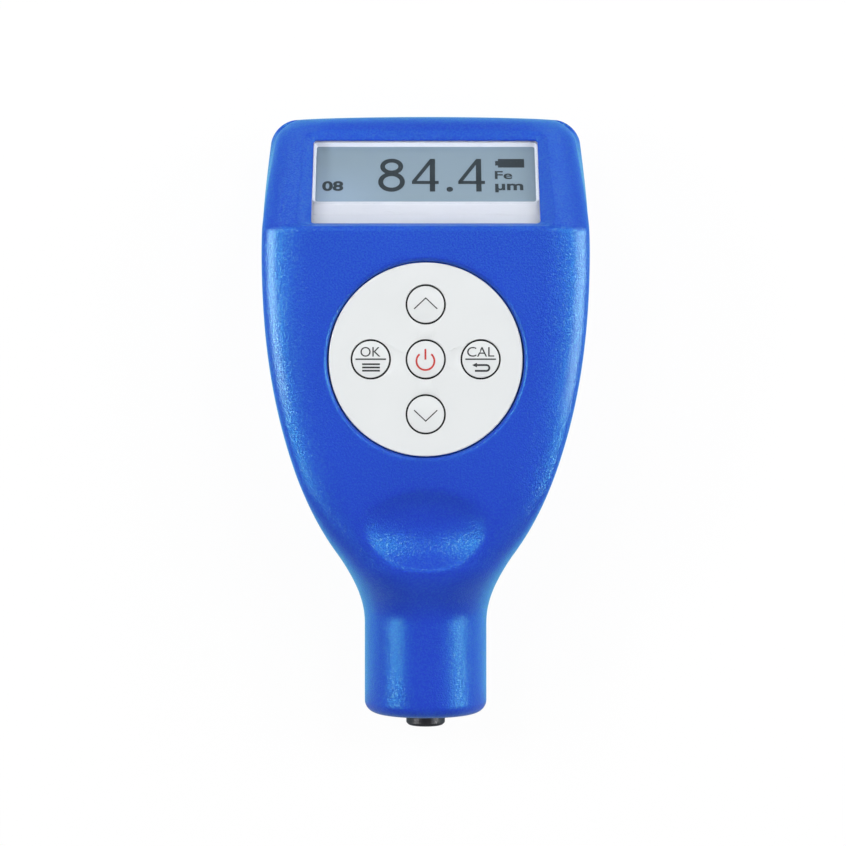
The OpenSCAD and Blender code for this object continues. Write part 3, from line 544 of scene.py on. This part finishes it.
def ramp(tree, value, target=(0.0, 1.0), source=(0.0, 1.0), kind="LINEAR"):
    """Value carried from a source range to a target range and held at its ends."""
    ends = zip(("From Min", "From Max", "To Min", "To Max"), (*source, *target))
    return put(tree, "ShaderNodeMapRange", {"Value": value, **dict(ends)}, interpolation_type=kind).outputs[0]


def reckon(tree, how, a, b, clamp=False):
    """One step of arithmetic on two values."""
    return put(tree, "ShaderNodeMath", {0: a, 1: b}, operation=how, use_clamp=clamp).outputs[0]


def blend(tree, share, a, b):
    """Colour that goes from a to b with the share."""
    return put(tree, "ShaderNodeMix", {0: share, 6: a, 7: b}, data_type="RGBA").outputs[2]


def relief(tree, height, depth, strength=1.0):
    """Normal of a surface raised by up to the depth in metres."""
    inputs = {"Height": height, "Strength": strength, "Distance": depth}
    return put(tree, "ShaderNodeBump", inputs).outputs["Normal"]


def grained(name, dark, light, roughness, grain, depth, metallic=0.0, patch=0.012, stretch=(1, 1, 1)):
    """Solid finish whose colour drifts between two tones, with a fine grain in its gloss and its relief.

    grain is the grain's size and patch the size of the tone's drift in metres, depth the relief's height.
    """
    spread = 0.06
    mat, tree, place = new_material(name)
    place = put(tree, "ShaderNodeMapping", {"Vector": place, "Scale": stretch}).outputs["Vector"]
    fine = noise(tree, place, grain, 3.0, Roughness=0.6)
    return shaded(mat, put(tree, "ShaderNodeBsdfPrincipled", {
        "Base Color": blend(tree, noise(tree, place, patch), linear(dark), linear(light)),
        "Roughness": ramp(tree, fine, (roughness - spread, roughness + spread)),
        "Metallic": metallic, "Normal": relief(tree, fine, depth)}))


def case_plastic(colour, grain):
    """Moulded ABS with a spark-eroded pebble grain: deep blue, with a broken satin gloss.

    Small clear sparks lie in the grain, and the crowned edge of the sides is worn smooth and glossy.
    """
    mat, tree, place = new_material("abs_blue_pebbled")
    dark, light = ([c * k for c in colour[:3]] + [1] for k in (0.93, 1.07))
    pebble = put(tree, "ShaderNodeTexVoronoi", {"Vector": place, "Scale": 1 / grain}, feature="SMOOTH_F1")
    fine = noise(tree, place, grain / 2.2)
    bumps = relief(tree, reckon(tree, "ADD", pebble.outputs["Distance"], fine), 0.00003)
    spark = noise(tree, place, 1.25 * grain, 1.0)
    split = put(tree, "ShaderNodeSeparateXYZ", {"Vector": place}).outputs
    worn = 0.75
    for axis, none, full in WORN_BAND:
        worn = reckon(tree, "MULTIPLY", worn, ramp(tree, split[axis], source=(none, full), kind="SMOOTHSTEP"))
    coat = reckon(tree, "ADD", ramp(tree, spark, source=(0.56, 0.66)), worn, clamp=True)
    return shaded(mat, put(tree, "ShaderNodeBsdfPrincipled", {
        "Base Color": blend(tree, noise(tree, place, 0.02), dark, light),
        "Roughness": ramp(tree, fine, (0.26, 0.37)), "IOR": 1.5,
        "Specular IOR Level": ramp(tree, spark, (0.68, 1.35), (0.42, 0.68)), "Specular Tint": linear("#5CFFF9"),
        "Coat Weight": coat, "Coat Roughness": 0.21, "Coat Normal": bumps,
        "Sheen Weight": 0.12, "Sheen Roughness": 0.5, "Sheen Tint": linear("#7DE6FF"), "Normal": bumps}))


def clear_acrylic():
    """Polished clear acrylic: faint mirror gloss, clear to look through, and shadow rays pass."""
    mat, tree, place = new_material("acrylic_clear")
    glass = put(tree, "ShaderNodeBsdfPrincipled", {
        "Base Color": linear("#FBFDFF"), "Roughness": ramp(tree, noise(tree, place, 0.006), (0.0, 0.03)),
        "IOR": 1.49, "Transmission Weight": 1.0})
    path = put(tree, "ShaderNodeLightPath").outputs
    light = reckon(tree, "MAXIMUM", path["Is Shadow Ray"], path["Is Diffuse Ray"])
    clear = put(tree, "ShaderNodeBsdfTransparent")
    return shaded(mat, put(tree, "ShaderNodeMixShader", {0: light, 1: glass.outputs[0], 2: clear.outputs[0]}))


def display_glass(colour):
    """Reflective liquid crystal glass: a grey-blue field, lightened towards one lower corner by a painted
    reflection.
    """
    mat, tree, place = new_material("lcd_glass_grey")
    split = put(tree, "ShaderNodeSeparateXYZ", {"Vector": place}).outputs
    # Painted reflection: the field turns lighter towards the corner at low X and low Y
    side = ramp(tree, split["X"], source=(-0.004, -0.018))
    low = ramp(tree, split["Y"], source=(0.046, 0.040))
    return shaded(mat, put(tree, "ShaderNodeBsdfPrincipled", {
        "Base Color": blend(tree, reckon(tree, "MULTIPLY", side, low), colour, linear("#92A8BE")),
        "Roughness": ramp(tree, noise(tree, place, 0.0003, 1.0), (0.3, 0.4)), "IOR": 1.5}))


def ink(name, colour, roughness):
    """Screen-printed ink: one even tone, with a slightly broken gloss."""
    spread = 0.08
    mat, tree, place = new_material(name)
    gloss = ramp(tree, noise(tree, place, 0.0002), (roughness - spread, roughness + spread))
    return shaded(mat, put(tree, "ShaderNodeBsdfPrincipled", {"Base Color": colour, "Roughness": gloss}))


def studio_paper():
    """White studio paper: dull, shown to the camera as plain white with its shadow kept.

    In reflections it shows a painted blue-green tint beside the case, and painted shade in front of the probe.
    """
    mat, tree, place = new_material("paper_white")
    path = put(tree, "ShaderNodeLightPath").outputs
    glossy = path["Is Glossy Ray"]
    seen = reckon(tree, "MAXIMUM", path["Is Camera Ray"], glossy)
    seen = reckon(tree, "MAXIMUM", seen, path["Is Transmission Ray"])
    fibres = relief(tree, noise(tree, place, 0.001), 0.00001, 0.2)
    paper = put(tree, "ShaderNodeBsdfDiffuse", {"Color": linear("#F4F4F4"), "Normal": fibres})
    split = put(tree, "ShaderNodeSeparateXYZ", {"Vector": place}).outputs
    # Painted reflection: glossy rays see the paper blue-green beside the case and dark grey, as painted shade,
    # in front of the probe
    beside = ramp(tree, split["Y"], source=(-0.054, -0.051))
    painted_reflection = blend(tree, beside, (0.3, 0.34, 0.4, 1), (0.3, 0.95, 0.95, 1))
    glow = put(tree, "ShaderNodeEmission", {
        "Color": blend(tree, glossy, (1, 1, 1, 1), painted_reflection), "Strength": ramp(tree, glossy, (1.0, 1.05))})
    white = put(tree, "ShaderNodeMixShader", {0: 0.95, 1: paper.outputs[0], 2: glow.outputs[0]})
    return shaded(mat, put(tree, "ShaderNodeMixShader", {0: seen, 1: paper.outputs[0], 2: white.outputs[0]}))


def ribbon(path, width, surface, closed=False):
    """Printed line: a flat strip of the given width carried along a path, lying on a surface height(x, y).

    Each path point is moved half a width to both sides along the mitred normal of the path. An open
    path of straight runs is first cut into short steps, so that the strip follows a crowned face.
    """
    p = np.asarray(path, float)
    if not closed and len(p) < 9:
        u = np.linspace(0, len(p) - 1, 8 * (len(p) - 1) + 1)
        p = np.column_stack([np.interp(u, np.arange(len(p)), p[:, k]) for k in (0, 1)])
    if closed:
        step = np.roll(p, -1, 0) - p
        back = p - np.roll(p, 1, 0)
    else:
        step = np.vstack([p[1:] - p[:-1], p[-1:] - p[-2:-1]])
        back = np.vstack([p[1:2] - p[:1], p[1:] - p[:-1]])
    step, back = (v / np.linalg.norm(v, axis=1, keepdims=True) for v in (step, back))
    normal = np.stack([-(step + back)[:, 1], (step + back)[:, 0]], -1)
    normal /= np.linalg.norm(normal, axis=1, keepdims=True)
    mitre = np.maximum((normal * np.stack([-step[:, 1], step[:, 0]], -1)).sum(1, keepdims=True), 0.35)
    half = 0.5 * np.broadcast_to(np.asarray(width, float).reshape(-1, 1), mitre.shape) / mitre
    left, right = p + normal * half, p - normal * half
    top = [np.column_stack([q, surface(q[:, 0], q[:, 1]) + INK_LIFT]) for q in (left, right)]
    low = [np.column_stack([q, surface(q[:, 0], q[:, 1]) - INK_LIFT]) for q in (right, left)]
    points = np.stack([*top, *low], 1).reshape(-1, 3)
    quads = grid_quads(len(p), 4, wrap=True)[:, ::-1]
    faces = list(quads)
    if closed:
        k, n = np.arange(4), 4 * (len(p) - 1)
        faces += list(np.stack([k, n + k, n + (k + 1) % 4, (k + 1) % 4], -1)[:, ::-1])
    else:
        faces += [np.arange(4), 4 * (len(p) - 1) + np.arange(4)[::-1]]
    return points, faces


def lettering(text, x0, x1, y0, y1, surface, weight=0.0):
    """Printed word: built-in letters stretched to a box, a thin body on a surface height(x, y)."""
    curve = bpy.data.curves.new("letters", "FONT")
    curve.body = text
    curve.extrude = 0.5
    curve.offset = weight
    curve.resolution_u = 5
    obj = bpy.data.objects.new("letters", curve)
    bpy.context.scene.collection.objects.link(obj)
    bpy.context.view_layer.update()
    mesh = bpy.data.meshes.new_from_object(obj.evaluated_get(bpy.context.evaluated_depsgraph_get()))
    co = np.zeros(len(mesh.vertices) * 3)
    mesh.vertices.foreach_get("co", co)
    faces = [list(f.vertices) for f in mesh.polygons]
    bpy.data.objects.remove(obj)
    bpy.data.meshes.remove(mesh)
    co = co.reshape(-1, 3)
    lo, hi = co.min(0), co.max(0)
    x = x0 + (co[:, 0] - lo[0]) / (hi[0] - lo[0]) * (x1 - x0)
    y = y0 + (co[:, 1] - lo[1]) / (hi[1] - lo[1]) * (y1 - y0)
    return np.column_stack([x, y, surface(x, y) + np.sign(co[:, 2]) * INK_LIFT]), faces


def printed(name, marks, place):
    """One object from several printed marks, each point moved by the function place."""
    points, faces, count = [], [], 0
    for p, f in marks:
        points.append(p)
        faces += [[int(i) + count for i in q] for q in f]
        count += len(p)
    return make(name, place(np.vstack(points)), faces)


def arc(cx, cy, rx, ry, a0, a1, count):
    """Points of an elliptical arc about (cx, cy), from angle a0 to a1 in degrees."""
    a = np.radians(np.linspace(a0, a1, count))
    return np.column_stack([cx + rx * np.cos(a), cy + ry * np.sin(a)])


LENGTH = {"unit": "LENGTH", "precision": 5}
COLOUR = {"subtype": "COLOR", "size": 4, "min": 0, "max": 1}


class GaugeSizes(bpy.types.PropertyGroup):
    """Small sizes that the solids leave plain."""
    seam: FloatProperty(
        name="Seam rounding", description="Rounding of both shells at their joint line",
        default=0.0002, min=0.00005, max=0.0003, **LENGTH)
    dimple_soft: FloatProperty(
        name="Dimple softness", description="Height over which the dimple's rim is rounded",
        default=0.0005, min=0.0001, max=0.001, **LENGTH)
    pebble: FloatProperty(
        name="Pebble grain", description="Size of the pebbles of the moulded case",
        default=0.00026, min=0.0002, max=0.001, **LENGTH)
    print_line: FloatProperty(
        name="Printed line", description="Width of the printed lines on the keys",
        default=0.00032, min=0.0002, max=0.0005, **LENGTH)
    key_edge: FloatProperty(
        name="Key edge", description="Rounding of a key's upper edge",
        default=0.00015, min=0.00005, max=0.0003, **LENGTH)
    camera_height: FloatProperty(
        name="Camera height", description="Height of the camera above the key face",
        default=0.35, min=0.1, max=1.0, **LENGTH)


class GaugeColours(bpy.types.PropertyGroup):
    """Colours of the visible pieces."""
    case: FloatVectorProperty(
        name="Case", description="Moulded case", default=linear("#253CBE"), **COLOUR)
    print_dark: FloatVectorProperty(
        name="Dark print", description="Printed signs on the keys", default=linear("#2C2F31"), **COLOUR)
    print_red: FloatVectorProperty(
        name="Red print", description="Printed power sign", default=linear("#C03A34"), **COLOUR)
    lcd: FloatVectorProperty(
        name="Display", description="Field of the display", default=linear("#8A9EAC"), **COLOUR)
    lcd_ink: FloatVectorProperty(
        name="Display ink", description="Dark segments of the display", default=linear("#1F2B32"), **COLOUR)


def blue_case():
    """The case's material, made once."""
    scene = bpy.context.scene
    return bpy.data.materials.get("abs_blue_pebbled") or case_plastic(
        scene.gauge_colours.case, scene.gauge_sizes.pebble)


def white_keys():
    """The key plate's and keys' material, made once: moulded white ABS with a fine satin grain."""
    return bpy.data.materials.get("abs_white_satin") or grained(
        "abs_white_satin", "#D6D9DA", "#DDE0E1", 0.42, 0.00025, 0.0000025)


def black_and_gap_shade():
    """Moulded black ABS, made once: dull and nearly black; on the keys it is also painted shade in the gap
    round each key.
    """
    return bpy.data.materials.get("abs_black_moulded") or grained(
        "abs_black_moulded", "#1B1C1D", "#232425", 0.5, 0.0003, 0.000004)


def dress(node, material):
    """Gives a CAD node a finish and leaves its mesh alone."""
    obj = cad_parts[node]
    if not obj.material_slots:
        obj.data.materials.append(material)
    for place in obj.material_slots:
        place.material = material


class GAUGE_OT_front_shell(bpy.types.Operator):
    """Front shell with the key pocket, the display opening, the dimple and half of the probe hole."""
    bl_idname = "gauge.front_shell"
    bl_label = "Front shell"

    def execute(self, context):
        sizes = context.scene.gauge_sizes
        front = shell("front_shell", True, sizes.seam / MM, sizes.dimple_soft / MM)
        lip = [(POCKET_R + g, FACE_Z + h) for g, h in POCKET_LIP]
        pocket = turned("pocket", [(0, SEAT_Z), (POCKET_R, SEAT_Z), *lip, (0, lip[-1][1])], (0, KEY_Y, 0), 160)
        key_holes = [plug("hole", STEM_HOLE_R, *STEM_HOLE_Z, (x, y, 0)) for x, y in KEYS.values()]
        opening = lofted("opening", on_head([
            rounded(OPENING_X + side, OPENING_Y[0] - below, OPENING_Y[1] + above, r, depth)
            for depth, side, above, below, r in OPENING_LEVELS]))
        carve(front, "DIFFERENCE", pocket, *key_holes, opening, probe_hole())
        finish_piece(front, blue_case(), "case", "case_blue", "front_case")
        return {"FINISHED"}


class GAUGE_OT_rear_shell(bpy.types.Operator):
    """Rear shell with the battery bay, the door's recess, the screw wells and half of the probe hole."""
    bl_idname = "gauge.rear_shell"
    bl_label = "Rear shell"

    def execute(self, context):
        sizes = context.scene.gauge_sizes
        rear = shell("rear_shell", False, sizes.seam / MM, sizes.dimple_soft / MM)
        (b0, b1), (r0, r1), w, p = BAY_Y, RECESS_Y, BAY_WALL, PAD_GROWTH
        well_x = side_width(np.array(WELL_Y)) - WELL_INSET
        wells_at = [(s * x, y, 0) for x, y in zip(well_x, WELL_Y) for s in (-1, 1)]
        bay_walls = lofted("bay_walls", [
            rounded(BAY_X + w, b0 - w, b1 + w, BAY_WALL_R, z) for z in (BAY_WALL_Z, BAY_Z + w)])
        pad = lofted("pad", [rounded(RECESS_X + p, r0 - p, r1 + p, PAD_CORNER_R, z) for z in PAD_Z])
        carve(rear, "UNION", bay_walls, pad, *[plug("boss", BOSS_R, *BOSS_Z, at) for at in wells_at])
        bay = lofted("bay", [rounded(BAY_X, b0, b1, BAY_CORNER_R, z) for z in (BELOW_Z, BAY_Z)])
        recess = lofted("recess", [
            rounded(RECESS_X + g, r0 - g, r1 + g, RECESS_CORNER_R + g, z) for g, z in RECESS_EDGE])
        knuckle = plug("knuckle", KNUCKLE_R, -RECESS_X, RECESS_X)
        pins = plug("pins", PIN_R, -PIN_X, PIN_X, count=48)
        for bar in (knuckle, pins):
            co = np.zeros(len(bar.data.vertices) * 3)
            bar.data.vertices.foreach_get("co", co)
            co = co.reshape(-1, 3)[:, [2, 0, 1]] + np.array([0, *HINGE]) * MM
            bar.data.vertices.foreach_set("co", co.ravel())
        notch = lofted("notch", [
            rounded(NOTCH_X, b1 - 1, r1, NOTCH_CORNER_R, z) for z in (BELOW_Z, NOTCH_Z)])
        a = np.radians(np.linspace(-90, 90, 49))
        dish = turned("dish", np.column_stack([DISH_R * np.cos(a), DISH_R * np.sin(a)]), DISH_AT)
        wells = [turned("well", WELL_PROFILE, at, 64) for at in wells_at]
        carve(rear, "DIFFERENCE", bay, recess, knuckle, pins, notch, dish, *wells, probe_hole())
        finish_piece(rear, blue_case(), "case", "case_blue", "rear_case")
        return {"FINISHED"}


class GAUGE_OT_battery_door(bpy.types.Operator):
    """Finish of the hinged door in the back."""
    bl_idname = "gauge.battery_door"
    bl_label = "Battery door"

    def execute(self, context):
        dress("battery_door", blue_case())
        return {"FINISHED"}


class GAUGE_OT_display(bpy.types.Operator):
    """Window, white frame and display with a sample reading."""
    bl_idname = "gauge.display"
    bl_label = "Display"

    def execute(self, context):
        colours = context.scene.gauge_colours
        dress("display_window", clear_acrylic())
        # Injection-moulded polystyrene: smooth, white, a soft gloss
        dress("display_frame", grained("polystyrene_white", "#E8ECF7", "#F1F5FD", 0.35, 0.0004, 0.000002))
        dress("lcd_panel", display_glass(colours.lcd))
        # Reading in the head's frame: two fours, an eight, a point and a battery, then words in their boxes
        level, wide, thin = reading_height, 0.95, 0.68
        marks = []
        for x in (-2.44, 5.78):
            marks += [
                ribbon([(x + 3.65, 9.38), (x + 3.65, 16.58)], wide, level),
                ribbon([(x + 3.42, 16.25), (x + 0.3, 11.5)], thin, level),
                ribbon([(x, 11.38), (x + 4.75, 11.38)], thin, level),
            ]
        marks += [
            ribbon(arc(-6.05, 14.88, 1.62, 1.32, 0, 351, 40), 0.86, level, closed=True),
            ribbon(arc(-6.05, 11.5, 1.93, 1.72, 0, 351, 40), 0.88, level, closed=True),
            ribbon(arc(4.27, 9.88, 0.3, 0.26, 0, 330, 12), 0.56, level, closed=True),
            ribbon([(12.9, 15.62), (17.58, 15.62)], 1.9, level),
            ribbon([(12.4, 15.62), (12.9, 15.62)], 1.0, level),
            lettering("08", -18.34, -14.59, 9.5, 11.67, level, 0.035),
            lettering("Fe", 12.31, 15.4, 12.11, 13.89, level, 0.018),
            lettering("µm", 12.31, 17.3, 9.2, 11.1, level, 0.03),
        ]
        reading = printed("display_reading", marks, on_head)
        # Switched liquid crystal: flat dark slate
        finish_piece(reading, ink("lcd_ink", colours.lcd_ink, 0.4), "case", "lcd_grey")
        return {"FINISHED"}


class GAUGE_OT_key_plate(bpy.types.Operator):
    """Round white key plate with five holes."""
    bl_idname = "gauge.key_plate"
    bl_label = "Key plate"

    def execute(self, context):
        a = np.radians(np.linspace(0, 90, 7))
        e = PLATE_EDGE_R
        rim = np.column_stack([PLATE_R - e + e * np.cos(a), PLATE_Z - e + e * np.sin(a)])
        profile = np.vstack([[(0, SEAT_Z), (PLATE_R, SEAT_Z)], rim, [(0, PLATE_Z)]])
        plate = turned("key_plate", profile, (0, KEY_Y, 0), 200)
        low, lip = SEAT_Z - 1, [(KEY_HOLE_R + g, PLATE_Z + h) for g, h in HOLE_LIP]
        hole = [(0, low), (KEY_HOLE_R, low), *lip, (0, lip[-1][1])]
        carve(plate, "DIFFERENCE", *[turned("hole", hole, (x, y, 0)) for x, y in KEYS.values()])
        finish_piece(plate, white_keys(), "case", "key_white", "keypad_plate")
        return {"FINISHED"}


class GAUGE_OT_keys(bpy.types.Operator):
    """Five round keys, each with a crowned face, a rounded edge, a stem, and a dark lower part that is painted
    shade in the gap round it.
    """
    bl_idname = "gauge.keys"
    bl_label = "Keys"

    def execute(self, context):
        edge = context.scene.gauge_sizes.key_edge / MM
        rim_r, rim_z = KEY_R + KEY_RIM, SEAT_Z - KEY_RIM_GAP
        stem_z = FACE_Z - BOARD_DROP + SWITCH_H + PLUNGER_TOP
        x = np.linspace(0, KEY_R - edge, 14)[::-1]
        a = np.radians(np.linspace(0, 75, 6))
        brow_z = float(key_top(KEY_R - edge, 0)) - edge
        profile = np.vstack([
            [(0, stem_z), (STEM_R, stem_z), (STEM_R, rim_z - KEY_RIM_H), (rim_r, rim_z - KEY_RIM_H)],
            [(rim_r, rim_z), (KEY_R, rim_z)],
            np.column_stack([KEY_R - edge + edge * np.cos(a), brow_z + edge * np.sin(a)]),
            np.column_stack([x, key_top(x, 0)])])
        for name, (kx, ky) in KEYS.items():
            key = turned(f"{name}_cap", profile, (kx, ky, 0), 96)
            finish_piece(key, white_keys(), f"{name}_button", "key_white", f"{name}_key")
            # Painted shade: the faces below the white cap take the black material, so the gap round the key
            # shows dark
            key.data.materials.append(black_and_gap_shade())
            z = np.zeros(len(key.data.polygons) * 3)
            key.data.polygons.foreach_get("center", z)
            low = (z.reshape(-1, 3)[:, 2] < (PLATE_Z - KEY_CAP_H) * MM).astype(np.int32)
            key.data.polygons.foreach_set("material_index", low)
        return {"FINISHED"}


class GAUGE_OT_key_signs(bpy.types.Operator):
    """Printed signs on the keys: arrows, a power sign, and plain words with small signs below them."""
    bl_idname = "gauge.key_signs"
    bl_label = "Key signs"

    def execute(self, context):
        colours = context.scene.gauge_colours
        line, top = context.scene.gauge_sizes.print_line / MM, key_top
        dark = ink("print_ink_dark", colours.print_dark, 0.5)
        red = ink("print_ink_red", colours.print_red, 0.5)
        rule = ribbon(np.column_stack([np.linspace(-2.66, 2.66, 9), np.full(9, 0.02)]), line * 0.8, top)
        run = np.linspace(-1, 1, 9)
        signs = {
            "up": [ribbon([(-2.02, -0.8), (0, 1.1), (2.02, -0.8)], line * 0.62, top)],
            "down": [ribbon([(-2.02, 0.72), (0, -1.18), (2.02, 0.72)], line * 0.62, top)],
            "power": [
                ribbon(arc(-0.05, -0.3, 1.56, 1.56, 130, 410, 40), line, top),
                ribbon([(-0.05, -0.05), (-0.05, 0.9), (-0.05, 1.8)], line, top),
            ],
            "ok": [
                lettering("OK", -1.79, 1.7, 0.45, 2.15, top), rule,
                *[ribbon([(-1.5, y), (0, y), (1.6, y)], line * 0.95, top) for y in (-0.85, -1.42, -1.98)],
            ],
            "cal": [
                lettering("CAL", -2.36, 2.36, 0.45, 2.15, top), rule,
                ribbon(np.vstack([
                    np.column_stack([run, np.full(9, -1.0)]), arc(1.0, -1.5, 0.5, 0.5, 80, -80, 12),
                    np.column_stack([run[::-1], np.full(9, -2.0)])]), line * 1.05, top),
                ribbon([(-1.45, -1.0), (-1.05, -1.0), (-0.65, -1.0)], np.linspace(0.06, 0.8, 17), top),
            ],
        }
        for name, marks in signs.items():
            kx, ky = KEYS[name]
            sign = printed(f"{name}_sign", marks, lambda p: p + np.array([kx, ky, 0]))
            finish_piece(sign, red if name == "power" else dark, f"{name}_button", "moulded_black")
        return {"FINISHED"}


class GAUGE_OT_probe(bpy.types.Operator):
    """Probe sleeve with softened edges and the round-nosed core inside it."""
    bl_idname = "gauge.probe"
    bl_label = "Probe"

    def execute(self, context):
        y0, y1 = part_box("probe_sleeve")[0].y / MM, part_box("probe_sleeve")[1].y / MM
        tail, r = y1 - SLEEVE_TAIL, TIP_R
        collar = tail - COLLAR_L
        sleeve = turned("probe_tip", [
            *[(x, y0 + h) for x, h in SLEEVE_NOSE],
            (r, collar), (COLLAR_R, collar), (COLLAR_R, tail), (r, tail), (r, y1), (SLEEVE_BORE_R, y1)],
            (0, 0, SPLIT_Z), along_y=True)
        # Ground and blackened tool steel: fine lines round the sleeve, a dark metal gloss
        steel = grained(
            "tool_steel_dark", "#505052", "#68686A", 0.48, 0.00012, 0.000002,
            metallic=1.0, patch=0.002, stretch=(1, 6, 1))
        finish_piece(sleeve, steel, "probe", "probe_steel", "probe_sleeve")
        # Polished hard steel: bright, almost mirror smooth
        dress("probe_core", grained(
            "steel_polished", "#A9AAAC", "#BCBDBF", 0.16, 0.0001, 0.0000005, metallic=1.0, patch=0.002))
        return {"FINISHED"}


class GAUGE_OT_inside(bpy.types.Operator):
    """Finishes of the pieces inside the case, which show only when the door is open."""
    bl_idname = "gauge.inside"
    bl_label = "Inside"

    def execute(self, context):
        # Zinc-plated steel screws and tin-plated cans
        plated = grained(
            "steel_zinc_plated", "#9C9FA3", "#B4B6B9", 0.3, 0.0002, 0.000002, metallic=1.0, patch=0.003)
        # Nickel-plated spring steel, drawn smooth
        spring = grained(
            "spring_steel_nickel", "#B3B1AA", "#C5C3BC", 0.24, 0.0002, 0.000001, metallic=1.0, patch=0.003)
        # Glass-epoxy board under green solder mask: faint weave, glossy lacquer
        board = grained("board_green_mask", "#0D4A2A", "#146038", 0.25, 0.0008, 0.000006, patch=0.0015)
        # Nylon connector bodies
        nylon = grained("nylon_ivory", "#D9D2BD", "#E6E0CD", 0.45, 0.0005, 0.000003)
        # Polyimide film with copper tracks below
        film = grained("polyimide_amber", "#A8641B", "#C27A26", 0.28, 0.0006, 0.000002, patch=0.001)
        # Acrylic light guide
        guide = grained("light_guide_white", "#E9EEF2", "#F5F8FA", 0.2, 0.0006, 0.000001)
        # Enamelled copper winding: fine turns along the probe
        copper = grained(
            "copper_enamelled", "#8E4A22", "#B9683A", 0.3, 0.0001, 0.00002,
            metallic=1.0, patch=0.0006, stretch=(0.2, 1, 0.2))
        # Printed film jacket of a dry cell
        jacket = grained("cell_film_dark", "#2A2B2E", "#35373A", 0.3, 0.0004, 0.000001)
        finishes = {
            plated: ("case_screws", "board_screws", "crystal_can"),
            spring: ("bridge_contact", "positive_contact", "negative_contact", "probe_spring"),
            board: ("main_board",),
            nylon: ("ribbon_socket", "probe_socket", "probe_bobbin"),
            film: ("display_ribbon",),
            guide: ("backlight_panel",),
            copper: ("probe_coil",),
            jacket: ("battery_left", "battery_right"),
            black_and_gap_shade(): (
                "key_switches", "controller_chip", "probe_guide", "probe_cap", *[f"{k}_plunger" for k in KEYS]),
        }
        for material, nodes in finishes.items():
            for node in nodes:
                dress(node, material)
        return {"FINISHED"}


class GAUGE_OT_stage(bpy.types.Operator):
    """White floor, soft studio lamps and the camera above the key face."""
    bl_idname = "gauge.stage"
    bl_label = "Stage"

    def execute(self, context):
        scene = context.scene
        scene.view_settings.view_transform = "Standard"
        half = FLOOR_HALF
        corners = [(-half, -half), (half, -half), (half, half), (-half, half)]
        floor = make("floor", [(x, y, FLOOR_Z) for x, y in corners], [(0, 1, 2, 3)])
        floor.data.materials.append(studio_paper())

        world = scene.world or bpy.data.worlds.new("studio")
        scene.world = world
        world.use_nodes = True
        tree = world.node_tree
        tree.nodes.clear()
        camera_ray = put(tree, "ShaderNodeLightPath").outputs["Is Camera Ray"]
        room = put(tree, "ShaderNodeBackground", {"Color": (1, 1, 1, 1), "Strength": ROOM_STRENGTH})
        backdrop = put(tree, "ShaderNodeBackground", {"Color": (1, 1, 1, 1), "Strength": 1.0})
        both = put(tree, "ShaderNodeMixShader", {0: camera_ray, 1: room.outputs[0], 2: backdrop.outputs[0]})
        put(tree, "ShaderNodeOutputWorld", {"Surface": both.outputs[0]})

        for name, (tilt, heading, far, across, along, power) in LAMPS.items():
            t, h = math.radians(tilt), math.radians(heading)
            data = bpy.data.lights.new(name, "AREA")
            data.shape = "RECTANGLE"
            data.size, data.size_y, data.energy = across, along, power
            lamp = bpy.data.objects.new(name, data)
            away = np.array([math.sin(t) * math.cos(h), math.sin(t) * math.sin(h), math.cos(t)])
            lamp.location = away * far + np.array(LAMP_AIM)
            lamp.rotation_euler = (0, t, h)
            scene.collection.objects.link(lamp)

        lens = bpy.data.cameras.new("camera")
        camera = bpy.data.objects.new("camera", lens)
        height = scene.gauge_sizes.camera_height
        lens.sensor_width = SENSOR_W
        lens.lens = SENSOR_W * height / (PHOTO_PIXELS * PIXEL_SIZE)
        camera.location = (*CAMERA_XY, FACE_Z * MM + height)
        scene.collection.objects.link(camera)
        scene.camera = camera
        return {"FINISHED"}


class GAUGE_PT_panel(bpy.types.Panel):
    """Sizes, colours and pieces of the gauge."""
    bl_idname = "GAUGE_PT_panel"
    bl_label = "Thickness gauge"
    bl_space_type = "VIEW_3D"
    bl_region_type = "UI"
    bl_category = "Gauge"

    def draw(self, context):
        for group in (context.scene.gauge_sizes, context.scene.gauge_colours):
            box = self.layout.box()
            for name in group.__annotations__:
                box.prop(group, name)
        for operator in OPERATORS:
            self.layout.operator(operator.bl_idname)


OPERATORS = (
    GAUGE_OT_front_shell, GAUGE_OT_rear_shell, GAUGE_OT_battery_door, GAUGE_OT_display, GAUGE_OT_key_plate,
    GAUGE_OT_keys, GAUGE_OT_key_signs, GAUGE_OT_probe, GAUGE_OT_inside, GAUGE_OT_stage,
)
CLASSES = (GaugeSizes, GaugeColours, *OPERATORS, GAUGE_PT_panel)


def register():
    for cls in CLASSES:
        bpy.utils.register_class(cls)
    bpy.types.Scene.gauge_sizes = PointerProperty(type=GaugeSizes)
    bpy.types.Scene.gauge_colours = PointerProperty(type=GaugeColours)


def unregister():
    del bpy.types.Scene.gauge_sizes
    del bpy.types.Scene.gauge_colours
    for cls in reversed(CLASSES):
        bpy.utils.unregister_class(cls)


def main():
    """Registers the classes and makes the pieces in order."""
    register()
    bpy.ops.gauge.front_shell()
    bpy.ops.gauge.rear_shell()
    bpy.ops.gauge.battery_door()
    bpy.ops.gauge.display()
    bpy.ops.gauge.key_plate()
    bpy.ops.gauge.keys()
    bpy.ops.gauge.key_signs()
    bpy.ops.gauge.probe()
    bpy.ops.gauge.inside()
    bpy.ops.gauge.stage()


if __name__ == "__main__":
    main()
